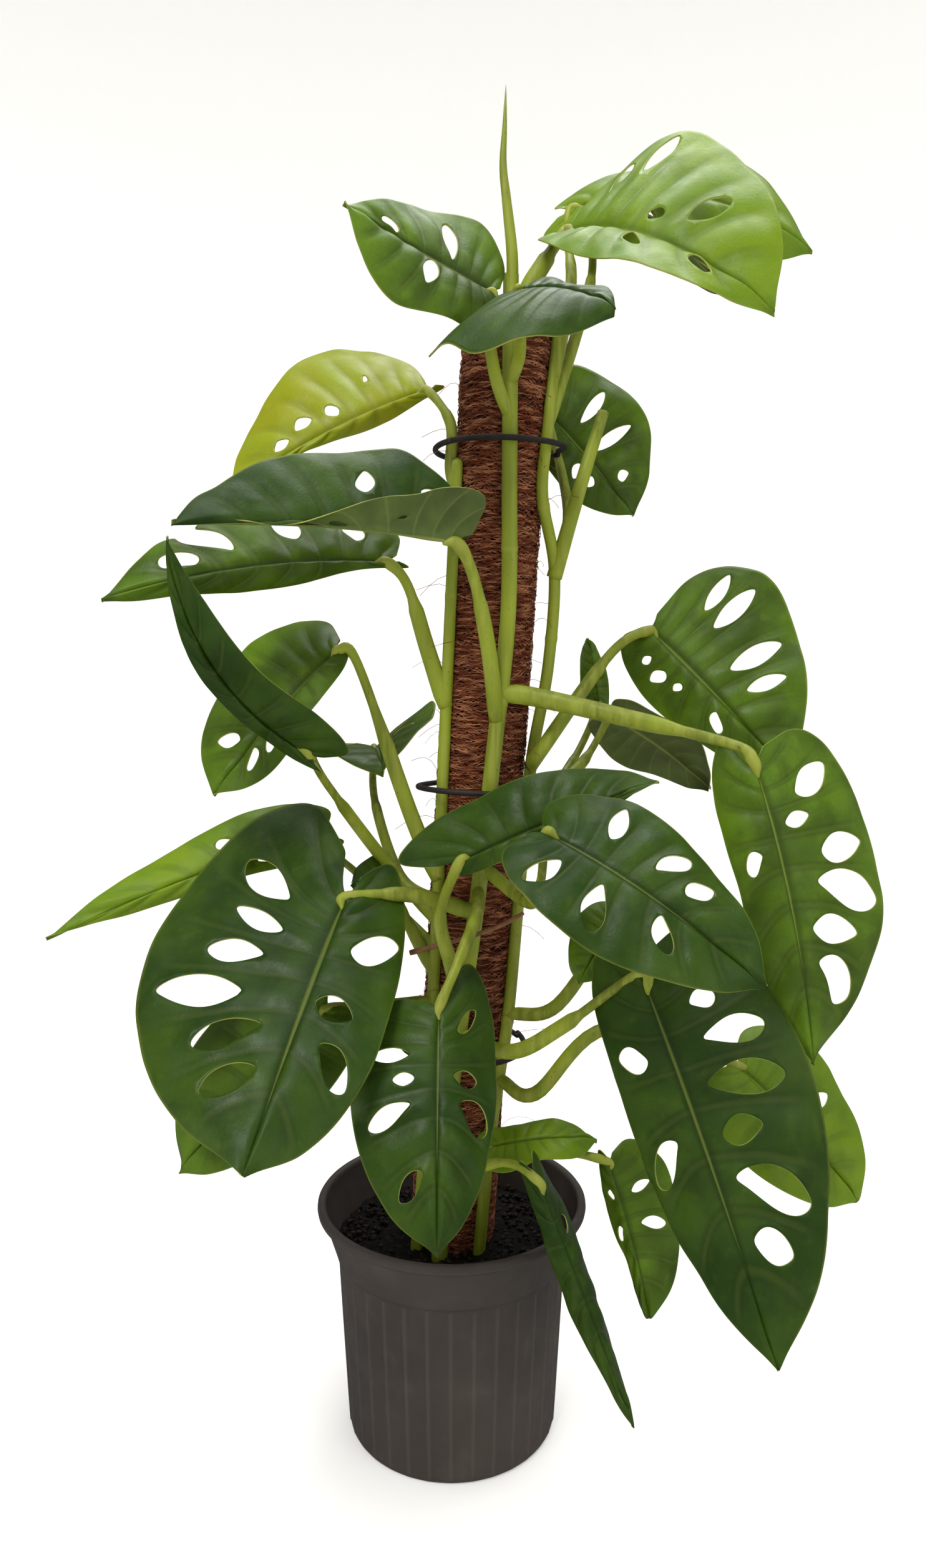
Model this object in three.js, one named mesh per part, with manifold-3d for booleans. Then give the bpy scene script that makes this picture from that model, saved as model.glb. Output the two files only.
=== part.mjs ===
// Potted monstera: three climbing vines with cut-leaf foliage on a coir pole, in a ribbed nursery pot.
// Millimetres, +Z up, origin at the centre of the pot's underside, front of the plant towards -Y.
import * as THREE from 'three';
import { mergeVertices } from 'three/addons/utils/BufferGeometryUtils.js';
import Module from 'manifold-3d';

const wasm = await Module();
wasm.setup();

// ---- Driving dimensions ----
const CLEARANCE = 0.4;

const POT_RIM_RADIUS = 120;
const POT_BASE_RADIUS = 93;
const POT_HEIGHT = 211;
const POT_WALL = 2.2;
const POT_FLOOR = 3;
const POT_FACETS = 32;
const RIM_OVERHANG = 4.5;
const RIM_LIP_HEIGHT = 9;
const COLLAR_HEIGHT = 39;
const COLLAR_TAPER = 12;
const COLLAR_STEP = 2.5;
const FOOT_CHAMFER = 4;
const DRAIN_HOLES = 8;
const DRAIN_RADIUS = 6;
const DRAIN_CIRCLE = 68;

const SOIL_BELOW_RIM = 39;
const SOIL_MOUND = 4;

const POLE_RADIUS = 36;
const POLE_CORE_RADIUS = 17;
const POLE_LENGTH = 900;
const POLE_DEPTH = 115;
const POLE_LEAN = 0.06;
const POLE_CORE_REVEAL = 6;

const FRONT_VINE_RADIUS = 6.5;
const SIDE_VINE_RADIUS = 5;
const VINE_DEPTH = 60;
const STALK_RADIUS = 3.8;
const BLADE_THICKNESS = 1.2;

const TIE_RADIUS = 2.4;
const TIE_SLACK = 1.2;
const ROOT_RADIUS = 2.2;
const SPIKE_RADIUS = 5.5;
const SPIKE_LENGTH = 141;

// ---- Finishes ----
const finish = (color, roughness) => new THREE.MeshStandardMaterial({ color, roughness });
const POT_PLASTIC = () => finish(0x3f3833, 0.55);
const SOIL = () => finish(0x14100d, 0.95);
const COIR = () => finish(0x6e3c24, 0.95);
const CORE_PLASTIC = () => finish(0x2a2624, 0.6);
const STEM = () => finish(0x6f8a2e, 0.45);
const ROOT = () => finish(0x6b4a30, 0.8);
const TIE = () => finish(0x2c2824, 0.6);
const LEAF = () => finish(0x2c4d14, 0.4);
const PALE_LEAF = () => finish(0x8c9420, 0.4);
const CUT_WOOD = () => finish(0x8a8f4a, 0.7);

// ---- Shared helpers ----
const plant = new THREE.Group();
const soilLevel = POT_HEIGHT - SOIL_BELOW_RIM;

function add(name, geometry, material, parent = plant) {
  const mesh = new THREE.Mesh(geometry, material);
  mesh.name = name;
  parent.add(mesh);
  return mesh;
}

function solidOf(geometry) {
  const bare = geometry.clone();
  bare.deleteAttribute('normal');
  bare.deleteAttribute('uv');
  const merged = mergeVertices(bare, 1e-4);
  const mesh = new wasm.Mesh({
    numProp: 3,
    vertProperties: new Float32Array(merged.attributes.position.array),
    triVerts: new Uint32Array(merged.index.array),
  });
  return new wasm.Manifold(mesh);
}

function geometryOf(solid) {
  const mesh = solid.getMesh();
  const geometry = new THREE.BufferGeometry();
  geometry.setAttribute('position', new THREE.BufferAttribute(new Float32Array(mesh.vertProperties), 3));
  geometry.setIndex(new THREE.BufferAttribute(new Uint32Array(mesh.triVerts), 1));
  geometry.computeVertexNormals();
  return geometry;
}

function lathe(outline, segments) {
  const points = outline.map(([radius, height]) => new THREE.Vector2(radius, height));
  return new THREE.LatheGeometry(points, segments).rotateX(Math.PI / 2);
}

function tube(points, radius, sides, steps) {
  const circle = new THREE.EllipseCurve(0, 0, radius, radius).getPoints(sides);
  const section = new THREE.Shape(circle.slice(0, -1));
  const path = new THREE.CatmullRomCurve3(points, false, 'centripetal');
  return new THREE.ExtrudeGeometry(section, { steps, extrudePath: path, bevelEnabled: false });
}

// ---- Leaf outline ----
// Each row is one side vein: where it leaves the midrib, where it meets the edge (both as shares of the
// blade's length), the blade's half width there and how much of a basal lobe's reach it carries.
const VEINS = [
  [0, -0.04, 0.12, 0.5],
  [0.035, -0.08, 0.42, 1],
  [0.1, -0.02, 0.74, 0.95],
  [0.17, 0.115, 0.93, 0.7],
  [0.26, 0.28, 1, 0.4],
  [0.36, 0.445, 0.98, 0.18],
  [0.48, 0.615, 0.88, 0.05],
  [0.61, 0.775, 0.69, 0],
  [0.75, 0.9, 0.43, 0],
  [0.88, 0.965, 0.2, 0],
  [1, 1, 0.012, 0],
];
// Where along the midrib a blade's own widths are given, from its base to its tip.
const STATIONS = [0, 0.2, 0.45, 0.7, 0.9];
const PANELS = [0, 0.035, 0.1, 0.17, 0.26, 0.36, 0.48, 0.61, 0.75, 1];
const ACROSS = [0, 0.5, 1];
const VEIN_SWEEP = 1.6;
const HOLE_CORNERS = 5;
const HOLE_WIDTH = 0.6;

// Climbing routes round the pole: [degrees round it, height above the soil, stand-off from the coir].
// A leaf's node is the height where its stalk leaves the vine, and its points are measured from there.
const VINES = {
  front: {
    radius: FRONT_VINE_RADIUS,
    route: [
      [-104, -VINE_DEPTH, 0], [-104, 0, 0], [-106, 100, 0], [-96, 220, 0], [-86, 320, 0],
      [-79, 430, 0], [-72, 550, 0], [-80, 660, 0], [-88, 760, 0], [-92, 815, 0],
    ],
  },
  right: {
    radius: SIDE_VINE_RADIUS,
    route: [
      [-58, -VINE_DEPTH, 0], [-55, 0, 0], [-50, 100, 0], [-40, 160, 0], [-28, 220, 0], [-18, 330, 0],
      [-14, 430, 2], [-6, 510, 10], [-6, 590, 10], [-30, 650, 0], [-28, 700, 0], [-14, 780, 0],
    ],
  },
  left: {
    radius: SIDE_VINE_RADIUS,
    route: [
      [-140, -VINE_DEPTH, 0], [-138, 0, 0], [-134, 110, 0], [-136, 280, 0], [-141, 440, 0],
      [-145, 570, 0], [-148, 680, 0],
    ],
  },
};
const CUT_STALK = { vine: 'right', node: 585, stalk: [[17.8, -6.6, 65], [40.8, 15.4, 137]] };
// The root's way round the pole: degrees, height, and how far it stands off from the front vine's face.
const AERIAL_ROOT = [[-135, 276, 22], [-115, 284, 10], [-93, 291, 8], [-69, 300, 11], [-49, 309, 14]];
const TIE_HEIGHTS = { tie_top: 690, tie_middle: 409, tie_low: 180 };

const LEAVES = [
  {
    name: 'leaf_crown_right',
    vine: 'front', node: 768, stalk: [[12.9, -5.1, 33], [23.9, -2.1, 52]],
    base: [41.9, 10.9, 82], tip: [179.9, -97.1, -9], face: [-0.3, -0.8, 0.5],
    half: [94, 46], fold: [-5, -30], curl: [15, 15],
    arch: 28, sway: 0, twist: 0, taper: 1, lobe: [0, -0.06],
    shape: [[1.3, 1.15, 1.03, 1, 1.1], [1, 1, 1, 1, 1]],
    holesLeft: [[2, 0.4, 0.7], [3, 0.5, 0.95], [5, 0.12, 0.25], [6, 0.25, 0.7]],
    holesRight: [[5, 0.2, 0.6], [7, 0.2, 0.7]],
  },
  {
    name: 'leaf_crown_right_back',
    vine: 'right', node: 743, stalk: [[14.6, 16.5, 75], [14.6, 42.5, 120]],
    base: [16.6, 54.5, 150], tip: [209.6, 14.5, 103], face: [0.1, -0.85, 0.5],
    half: [70, 45], fold: [0, 10], curl: [20, 20],
    arch: 32, sway: 0, twist: 0, taper: 1, lobe: [0, 0],
    shape: [[0.3, 0.6, 1, 1, 1], [1, 1, 1, 1, 1]],
    holesLeft: [[4, 0.3, 0.7]],
    holesRight: [[4, 0.3, 0.7]],
  },
  {
    name: 'leaf_crown_right_low',
    vine: 'right', node: 708, stalk: [[34.5, 44.5, 110], [41.5, 70.5, 157]],
    base: [40.5, 93.5, 195], tip: [160.5, 88.5, 124], face: [0.2, -0.1, 0.95],
    half: [45, 40], fold: [0, 0], curl: [20, 20],
    arch: 18, sway: 0, twist: 0, taper: 1, lobe: [0, 0],
    shape: [[1, 1, 1, 1, 1], [1, 1, 1, 1, 1]],
    holesLeft: [],
    holesRight: [[4, 0.3, 0.7]],
  },
  {
    name: 'leaf_crown_left',
    vine: 'front', node: 708, stalk: [[-11.1, -12.3, 25], [-17.1, -17.3, 60]],
    base: [-13.1, -27.3, 85], tip: [-121.1, -85.3, 126], face: [0.1, -0.65, 0.75],
    half: [58, 60], fold: [5, -25], curl: [55, 15],
    arch: 0, sway: 0, twist: 0, taper: 0.85, lobe: [0, 0],
    shape: [[0.6, 0.8, 1, 1, 1], [1.1, 1.05, 0.95, 0.5, 0.25]],
    holesLeft: [[5, 0.1, 0.6, 0.8]],
    holesRight: [[4, 0.1, 0.75, 0.85], [7, 0.1, 0.6]],
  },
  {
    name: 'leaf_crown_front',
    vine: 'front', node: 733, stalk: [[6.9, -19.2, 21]],
    base: [1.9, -71.2, 49], tip: [65.9, -121.2, 21], face: [0, -0.3, 0.95],
    half: [20, 80], fold: [-8, 14], curl: [0, 30],
    arch: 8, sway: 0, twist: 0, taper: 1, lobe: [0, 0.38],
    shape: [[1, 1, 1, 1, 1], [1, 1, 1, 1, 1]],
    holesLeft: [],
    holesRight: [],
  },
  {
    name: 'leaf_left_yellow',
    vine: 'left', node: 655, stalk: [[-4.5, 8.4, 18], [-4.5, 6.4, 53]],
    base: [-23.5, 17.4, 82], tip: [-181.5, -17.6, -6], face: [-0.2, -0.8, 0.5],
    half: [12, 84], fold: [65, -5], curl: [20, 15],
    arch: 10, sway: 0, twist: 0, taper: 0.85, lobe: [0, -0.05],
    shape: [[1, 1, 1, 1, 1], [0.8, 1.15, 1, 0.92, 0.9]],
    holesLeft: [],
    holesRight: [[3, 0.3, 0.4, 0.5], [5, 0.1, 0.28, 0.6], [6, 0.18, 0.4, 0.8], [7, 0.12, 0.35, 0.6]],
    pale: true,
  },
  {
    name: 'leaf_back_right',
    vine: 'right', node: 588, stalk: [[13.6, 30.4, 55]],
    base: [-0.4, 79.4, 145], tip: [76.6, 79.4, 56], face: [0, -0.9, 0.4],
    half: [76, 36], fold: [0, 0], curl: [15, 15],
    arch: 6, sway: 0, twist: 0, taper: 1, lobe: [0.16, -0.05],
    shape: [[1, 1, 1, 1, 1], [1, 1, 1, 1, 1]],
    holesLeft: [[3, 0.2, 0.8, 0.7], [5, 0.1, 0.75, 0.7], [7, 0.2, 0.5]],
    holesRight: [[5, 0.3, 0.7], [6, 0.3, 0.6]],
  },
  {
    name: 'leaf_left_folded',
    vine: 'front', node: 468, stalk: [[-7.9, -18.2, 60], [-18.9, -33.2, 111]],
    base: [-30.9, -43.2, 138], tip: [-232.9, -108.2, 145], face: [0, 0.1, 1],
    half: [60, 98], fold: [-75, -74], curl: [15, 15],
    arch: 6, sway: 0, twist: 0, taper: 1, lobe: [0, 0],
    shape: [[1.6, 0.45, 0.1, 0.03, 0.03], [0.4, 0.8, 0.72, 0.5, 0.9]],
    holesLeft: [[3, 0.4, 0.5]],
    holesRight: [[2, 0.5, 0.75], [4, 0.4, 0.7]],
  },
  {
    name: 'leaf_left_pale',
    vine: 'left', node: 478, stalk: [[-16, 5.4, 50], [-31, 0.4, 99]],
    base: [-46, -4.6, 118], tip: [-252, -94.6, 85], face: [0, -0.75, 0.65],
    half: [24, 56], fold: [60, -10], curl: [20, 10],
    arch: 14, sway: 0, twist: 0, taper: 1, lobe: [0, 0],
    shape: [[0.3, 0.5, 0.9, 1.1, 1], [1, 1, 1, 1, 1]],
    holesLeft: [],
    holesRight: [[2, 0.4, 0.8, 0.8], [4, 0.35, 0.97, 0.75], [6, 0.3, 0.97, 0.75], [7, 0.2, 0.75, 0.75]],
  },
  {
    name: 'leaf_left_twisted',
    vine: 'left', node: 298, stalk: [[-47.8, 23.5, 50], [-87.8, -21.5, 118]],
    base: [-96.8, -61.5, 146], tip: [-186.8, -121.5, 307], face: [-0.3, -0.9, 0.3],
    half: [13, 30], fold: [0, 0], curl: [15, 15],
    arch: 10, sway: -22, twist: 0, taper: 0.85, lobe: [0, 0],
    shape: [[1, 1, 1, 1, 1], [1.2, 1.2, 0.9, 0.6, 0.6]],
    holesLeft: [],
    holesRight: [],
  },
  {
    name: 'leaf_left_hanging',
    vine: 'left', node: 333, stalk: [[-24.4, 5.9, 58], [-66.4, 7.9, 180]],
    base: [-82.4, 7.9, 193], tip: [-179.4, -32.1, 75], face: [-0.3, -0.8, 0.5],
    half: [36, 78], fold: [0, 0], curl: [15, 15],
    arch: 8, sway: 0, twist: 0, taper: 1, lobe: [-0.06, 0.03],
    shape: [[0.3, 0.6, 0.9, 1.1, 1.1], [1, 1, 1, 1, 1]],
    holesLeft: [[6, 0.2, 0.7, 0.7], [7, 0.25, 0.7]],
    holesRight: [[5, 0.3, 0.7, 0.7], [7, 0.2, 0.7]],
  },
  {
    name: 'leaf_left_back',
    vine: 'left', node: 313, stalk: [[-33.5, 38.2, 15], [-57.5, 68.2, 78]],
    base: [-61.5, 113.2, 120], tip: [-46.5, 28.2, 107], face: [0, -0.2, 1],
    half: [65, 55], fold: [-35, -10], curl: [0, 15],
    arch: 10, sway: 0, twist: 0, taper: 1, lobe: [0, 0],
    shape: [[1, 1, 1, 1, 1], [1, 1, 1, 1, 1]],
    holesLeft: [[4, 0.2, 0.6], [5, 0.3, 0.7]],
    holesRight: [[4, 0.3, 0.6]],
  },
  {
    name: 'leaf_left_low_back',
    vine: 'left', node: 253, stalk: [[-16.6, 2.9, 31]],
    base: [-30.6, 12.9, 61], tip: [-67.6, -5.1, 79], face: [0, -0.6, 0.8],
    half: [30, 40], fold: [0, 0], curl: [15, 15],
    arch: 6, sway: 0, twist: 0, taper: 1, lobe: [0, 0],
    shape: [[1, 1, 1, 1, 1], [1, 1, 1, 1, 1]],
    holesLeft: [],
    holesRight: [],
  },
  {
    name: 'leaf_left_big',
    vine: 'front', node: 308, stalk: [[-50.6, -22.2, 20]],
    base: [-103.6, -32.2, 22], tip: [-156.6, -207.2, -128], face: [-0.1, -0.85, 0.5],
    half: [66, 134], fold: [10, 0], curl: [15, 15],
    arch: 5, sway: 0, twist: 0, taper: 1.12, lobe: [0.1, 0.34],
    shape: [[0.75, 0.85, 1, 1, 1.1], [1.05, 1.05, 1, 0.9, 0.95]],
    holesLeft: [[3, 0.3, 0.95, 0.85], [5, 0.1, 0.6, 0.7], [6, 0.35, 0.9, 0.7]],
    holesRight: [[2, 0.35, 0.8, 0.8], [3, 0.25, 0.6], [4, 0.3, 0.65, 0.7], [5, 0.35, 0.9, 0.7],
      [6, 0.2, 0.7, 0.6], [7, 0.2, 0.75]],
  },
  {
    name: 'leaf_left_far',
    vine: 'left', node: 273, stalk: [[-61.6, 64.8, 43], [-94.6, 68.8, 71]],
    base: [-104.6, 56.8, 89], tip: [-322.6, -18.2, 13], face: [0, -0.8, 0.6],
    half: [22, 52], fold: [20, 0], curl: [15, 15],
    arch: 12, sway: 0, twist: 0, taper: 0.4, lobe: [0, 0],
    shape: [[1, 1, 0.8, 0.5, 0.5], [1, 1, 0.95, 0.7, 0.5]],
    holesLeft: [[3, 0.2, 0.6]],
    holesRight: [[4, 0.2, 0.6]],
    pale: true,
  },
  {
    name: 'leaf_left_behind',
    vine: 'left', node: 228, stalk: [[-34.2, -10.9, 0]],
    base: [-83.2, -40.9, 8], tip: [-205.2, -60.9, -125], face: [-0.2, -0.8, 0.5],
    half: [50, 75], fold: [0, 0], curl: [15, 15],
    arch: 8, sway: 0, twist: 0, taper: 1, lobe: [0, 0],
    shape: [[1, 1, 1, 1, 1], [1, 1, 1, 1, 1]],
    holesLeft: [],
    holesRight: [],
  },
  {
    name: 'leaf_centre_front',
    vine: 'front', node: 328, stalk: [[-3.1, -37.2, -15], [-18.1, -72.2, -45]],
    base: [-31.1, -87.2, -72], tip: [-31.1, -187.2, -216], face: [0, -0.8, 0.5],
    half: [54, 70], fold: [20, 5], curl: [25, 15],
    arch: 10, sway: 0, twist: 0, taper: 0.85, lobe: [0.16, -0.03],
    shape: [[1, 1, 1, 1, 1], [1, 1, 1, 1, 1]],
    holesLeft: [[2, 0.3, 0.7, 0.7], [4, 0.2, 0.6], [5, 0.3, 0.9, 0.8]],
    holesRight: [[3, 0.3, 0.8], [4, 0.25, 0.5], [5, 0.3, 0.85], [7, 0.25, 0.8]],
  },
  {
    name: 'leaf_centre_right',
    vine: 'front', node: 228, stalk: [[-9.8, -32.3, 46], [-17.8, -35.3, 87]],
    base: [-2.8, -52.3, 133], tip: [149.2, -67.3, 198], face: [0.1, -0.8, 0.6],
    half: [46, 14], fold: [-5, 30], curl: [10, -20],
    arch: 8, sway: 0, twist: 0, taper: 1, lobe: [0.2, -0.05],
    shape: [[1, 1, 0.9, 0.9, 1], [1, 1.1, 0.8, 0.6, 0.6]],
    holesLeft: [],
    holesRight: [],
  },
  {
    name: 'leaf_right_dark',
    vine: 'front', node: 348, stalk: [[36.8, -37.3, -22], [42.8, -91.3, 6]],
    base: [44.8, -117.3, 48], tip: [189.8, -172.3, -51], face: [0.1, -0.7, 0.7],
    half: [65, 62], fold: [0, 0], curl: [10, 15],
    arch: 12, sway: 0, twist: 0, taper: 0.9, lobe: [0, 0],
    shape: [[1, 1, 1, 1, 1], [1, 1, 1, 1, 1]],
    holesLeft: [[3, 0.3, 0.85], [5, 0.3, 0.8], [6, 0.3, 0.8]],
    holesRight: [[2, 0.3, 0.9, 0.75], [4, 0.25, 0.85, 0.8], [6, 0.2, 0.7]],
  },
  {
    name: 'leaf_right_upper',
    vine: 'right', node: 428, stalk: [[7.3, -19.5, 15], [66.3, -4.5, 95]],
    base: [100.3, 10.5, 114], tip: [203.3, -49.5, 0], face: [0.05, -1, 0.1],
    half: [92, 45], fold: [0, 20], curl: [10, 15],
    arch: 6, sway: 0, twist: 0, taper: 0.9, lobe: [0, 0],
    shape: [[1.25, 1.2, 1, 0.92, 0.9], [1, 1, 1, 1, 1]],
    holesLeft: [[2, 0.45, 0.9, 0.6], [3, 0.35, 0.85, 0.8], [5, 0.25, 0.85, 0.7], [6, 0.3, 0.8, 0.5]],
    holesRight: [[2, 0.4, 0.65, 0.5], [3, 0.35, 0.7, 0.7], [4, 0.3, 0.5, 0.5], [6, 0.25, 0.65, 0.6]],
  },
  {
    name: 'leaf_right_big',
    vine: 'front', node: 490, stalk: [[24.9, -3.5, -2], [86.9, -28.5, -15], [174.9, -58.5, -36]],
    base: [188.9, -73.5, -47], tip: [231.9, -108.5, -272], face: [0.3, -0.9, 0.2],
    half: [102, 40], fold: [5, 42], curl: [15, 20],
    arch: 12, sway: 0, twist: 0, taper: 1, lobe: [0, 0],
    shape: [[1, 1, 1, 1, 1], [1, 1, 1, 1, 1]],
    holesLeft: [[2, 0.3, 0.85, 0.9], [3, 0.1, 0.35, 0.6], [4, 0.35, 0.85, 0.8], [5, 0.25, 0.95, 0.9],
      [6, 0.15, 0.7, 0.7], [7, 0.2, 0.85, 0.9]],
    holesRight: [[4, 0.3, 0.7]],
  },
  {
    name: 'leaf_right_huge',
    vine: 'front', node: 203, stalk: [[42.4, -37.5, -1], [81.4, -77.5, 35]],
    base: [134.4, -107.5, 86], tip: [222.4, -187.5, -175], face: [0.1, -0.9, 0.3],
    half: [100, 58], fold: [0, 40], curl: [15, 20],
    arch: 10, sway: 0, twist: 0, taper: 1, lobe: [0, 0],
    shape: [[1, 1, 1, 1, 1], [1, 1, 1, 1, 1]],
    holesLeft: [[2, 0.3, 0.55], [3, 0.25, 0.8], [4, 0.15, 0.8, 0.75], [5, 0.15, 0.5],
      [6, 0.15, 0.85, 0.75], [7, 0.2, 0.7]],
    holesRight: [[3, 0.3, 0.8], [5, 0.3, 0.9]],
  },
  {
    name: 'leaf_right_low_back',
    vine: 'right', node: 158, stalk: [[29, -33.2, 0], [88, -43.2, 60]],
    base: [200, -23.2, 21], tip: [298, -43.2, -89], face: [0.2, -0.8, 0.5],
    half: [65, 55], fold: [0, 0], curl: [15, 15],
    arch: 10, sway: 0, twist: 0, taper: 1, lobe: [0, 0],
    shape: [[1, 1, 1, 1, 1], [1, 1, 1, 1, 1]],
    holesLeft: [[5, 0.3, 0.7]],
    holesRight: [],
    pale: true,
  },
  {
    name: 'leaf_right_back',
    vine: 'right', node: 388, stalk: [[51.7, 51.5, 36]],
    base: [80.7, 81.5, 77], tip: [175.7, 91.5, 9], face: [0, 0.5, 0.8],
    half: [45, 45], fold: [0, 0], curl: [10, 10],
    arch: 6, sway: 0, twist: 0, taper: 1, lobe: [0, 0],
    shape: [[1, 1, 1, 1, 1], [1, 1, 1, 1, 1]],
    holesLeft: [],
    holesRight: [],
  },
  {
    name: 'leaf_right_young',
    vine: 'right', node: 368, stalk: [[53.5, 97, 60]],
    base: [76.5, 122, 105], tip: [67.5, 137, 168], face: [0, -1, 0],
    half: [16, 16], fold: [30, 30], curl: [10, 10],
    arch: 2, sway: 0, twist: 0, taper: 1, lobe: [0, 0],
    shape: [[1, 1, 1, 1, 1], [1, 1, 1, 1, 1]],
    holesLeft: [],
    holesRight: [],
  },
  {
    name: 'leaf_rim_front',
    vine: 'front', node: 78, stalk: [[-7.2, -18.7, 6], [48.8, -58.7, 39]],
    base: [75.8, -83.7, 36], tip: [148.8, -108.7, -153], face: [0.3, -0.9, 0.2],
    half: [42, 22], fold: [55, 60], curl: [10, 10],
    arch: 4, sway: 0, twist: 0, taper: 1, lobe: [0, 0],
    shape: [[1, 1, 1, 1, 1], [1, 1, 1, 1, 1]],
    holesLeft: [[3, 0.2, 0.6]],
    holesRight: [],
  },
  {
    name: 'leaf_rim_right',
    vine: 'right', node: 103, stalk: [[26.9, -28.5, 10], [58.9, -38.5, 10]],
    base: [96.9, -43.5, 3], tip: [127.9, -78.5, -113], face: [0.3, -0.9, 0.2],
    half: [58, 18], fold: [10, 60], curl: [15, 20],
    arch: 6, sway: 0, twist: 0, taper: 1, lobe: [0, 0],
    shape: [[1, 1, 1, 1, 1], [1, 1, 1, 1, 1]],
    holesLeft: [[3, 0.2, 0.6], [5, 0.2, 0.7]],
    holesRight: [[3, 0.2, 0.6], [5, 0.2, 0.7]],
  },
  {
    name: 'leaf_rim_yellow',
    vine: 'right', node: 90, stalk: [[-3.7, -18.1, 10]],
    base: [-1.7, -34.1, 24], tip: [89.3, -38.1, 33], face: [0, -0.4, 0.9],
    half: [22, 25], fold: [0, 0], curl: [15, 15],
    arch: 6, sway: 0, twist: 0, taper: 1, lobe: [0, 0],
    shape: [[1, 1, 1, 1, 1], [1, 1, 1, 1, 1]],
    holesLeft: [],
    holesRight: [],
    pale: true,
  },
  {
    name: 'leaf_right_mid_back',
    vine: 'right', node: 213, stalk: [[41.2, -19.7, 15]],
    base: [89.2, -29.7, 95], tip: [56.2, -39.7, 40], face: [0, -0.7, 0.6],
    half: [20, 28], fold: [0, 0], curl: [15, 15],
    arch: 4, sway: 0, twist: 0, taper: 1, lobe: [0, 0],
    shape: [[1, 1, 1, 1, 1], [1, 1, 1, 1, 1]],
    holesLeft: [],
    holesRight: [],
  },
];

// ---- Leaf surface ----
// A cubic through one column of VEINS, read at a share along the midrib.
function veinValue(column, along) {
  const last = VEINS.length - 1;
  const slope = (i) => {
    const before = VEINS[Math.max(i - 1, 0)];
    const after = VEINS[Math.min(i + 1, last)];
    return (after[column] - before[column]) / (after[0] - before[0]);
  };
  let i = 0;
  while (i < last - 1 && along >= VEINS[i + 1][0]) i += 1;
  const span = VEINS[i + 1][0] - VEINS[i][0];
  const s = (along - VEINS[i][0]) / span;
  const ease = 3 * s ** 2 - 2 * s ** 3;
  const level = (1 - ease) * VEINS[i][column] + ease * VEINS[i + 1][column];
  return level + span * ((s ** 3 - 2 * s ** 2 + s) * slope(i) + (s ** 3 - s ** 2) * slope(i + 1));
}

// A blade's own width at a share along its midrib, as a share of the usual one.
function ownWidth(widths, along) {
  const last = STATIONS.length - 1;
  if (along >= STATIONS[last]) return widths[last];
  let i = 0;
  while (along >= STATIONS[i + 1]) i += 1;
  return THREE.MathUtils.mapLinear(along, STATIONS[i], STATIONS[i + 1], widths[i], widths[i + 1]);
}

// A point of a blade: its share along the midrib, and its share across (-1 left edge, 1 right edge).
function bladePoint(leaf, along, across) {
  const base = fromNode(leaf, leaf.base);
  const axis = fromNode(leaf, leaf.tip).sub(base);
  const length = axis.length();
  axis.divideScalar(length);
  const face = new THREE.Vector3(...leaf.face);
  face.addScaledVector(axis, -face.dot(axis)).normalize();
  const right = new THREE.Vector3().crossVectors(axis, face);

  const side = across > 0 ? 1 : 0;
  const reach = Math.abs(across);
  const edge = veinValue(1, along) - leaf.lobe[side] * veinValue(3, along);
  const forward = along + (edge - along) * reach ** VEIN_SWEEP;
  const share = (1 + (leaf.taper - 1) * along) * ownWidth(leaf.shape[side], along);
  const width = veinValue(2, along) * leaf.half[side] * share;
  const fold = THREE.MathUtils.degToRad(leaf.fold[side]);
  const curl = THREE.MathUtils.degToRad(leaf.curl[side] || 0.1);
  const out = ((Math.sin(fold + curl * reach) - Math.sin(fold)) / curl) * width * (side ? 1 : -1);
  const lift = ((Math.cos(fold + curl * reach) - Math.cos(fold)) / curl) * width;
  const turn = THREE.MathUtils.degToRad(leaf.twist) * forward;
  const bow = 4 * forward * (1 - forward);
  const sideways = out * Math.cos(turn) - lift * Math.sin(turn) + leaf.sway * bow;
  const upwards = out * Math.sin(turn) + lift * Math.cos(turn) + leaf.arch * bow;
  base.addScaledVector(axis, forward * length);
  return base.addScaledVector(right, sideways).addScaledVector(face, upwards);
}

function bladeNormal(leaf, along, across) {
  const step = 0.02;
  const a = Math.min(Math.max(along, step), 1 - step);
  const lengthways = bladePoint(leaf, a + step, across).sub(bladePoint(leaf, a - step, across));
  const b = Math.min(Math.max(across, step - 1), 1 - step);
  const crossways = bladePoint(leaf, a, b + step).sub(bladePoint(leaf, a, b - step));
  return crossways.cross(lengthways).normalize();
}

// The flat layout of one panel between two side veins, with its holes.
function panelLayout(leaf, panel, side) {
  const [start, end] = [PANELS[panel], PANELS[panel + 1]];
  const contour = ACROSS.map((t) => new THREE.Vector2(start, side * t));
  contour.push(...ACROSS.toReversed().map((t) => new THREE.Vector2(end, side * t)));
  const rows = (side > 0 ? leaf.holesRight : leaf.holesLeft).filter((hole) => hole[0] === panel);
  const holes = rows.map(([, inner, outer]) => {
    const ring = [];
    for (let i = 0; i < HOLE_CORNERS; i += 1) {
      const angle = (2 * Math.PI * i) / HOLE_CORNERS;
      const along = (start + end) / 2 + ((end - start) / 2) * HOLE_WIDTH * Math.sin(angle);
      const across = (inner + outer) / 2 + ((outer - inner) / 2) * Math.cos(angle);
      ring.push(new THREE.Vector2(along, side * across));
    }
    return ring;
  });
  return { contour, holes };
}

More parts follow.
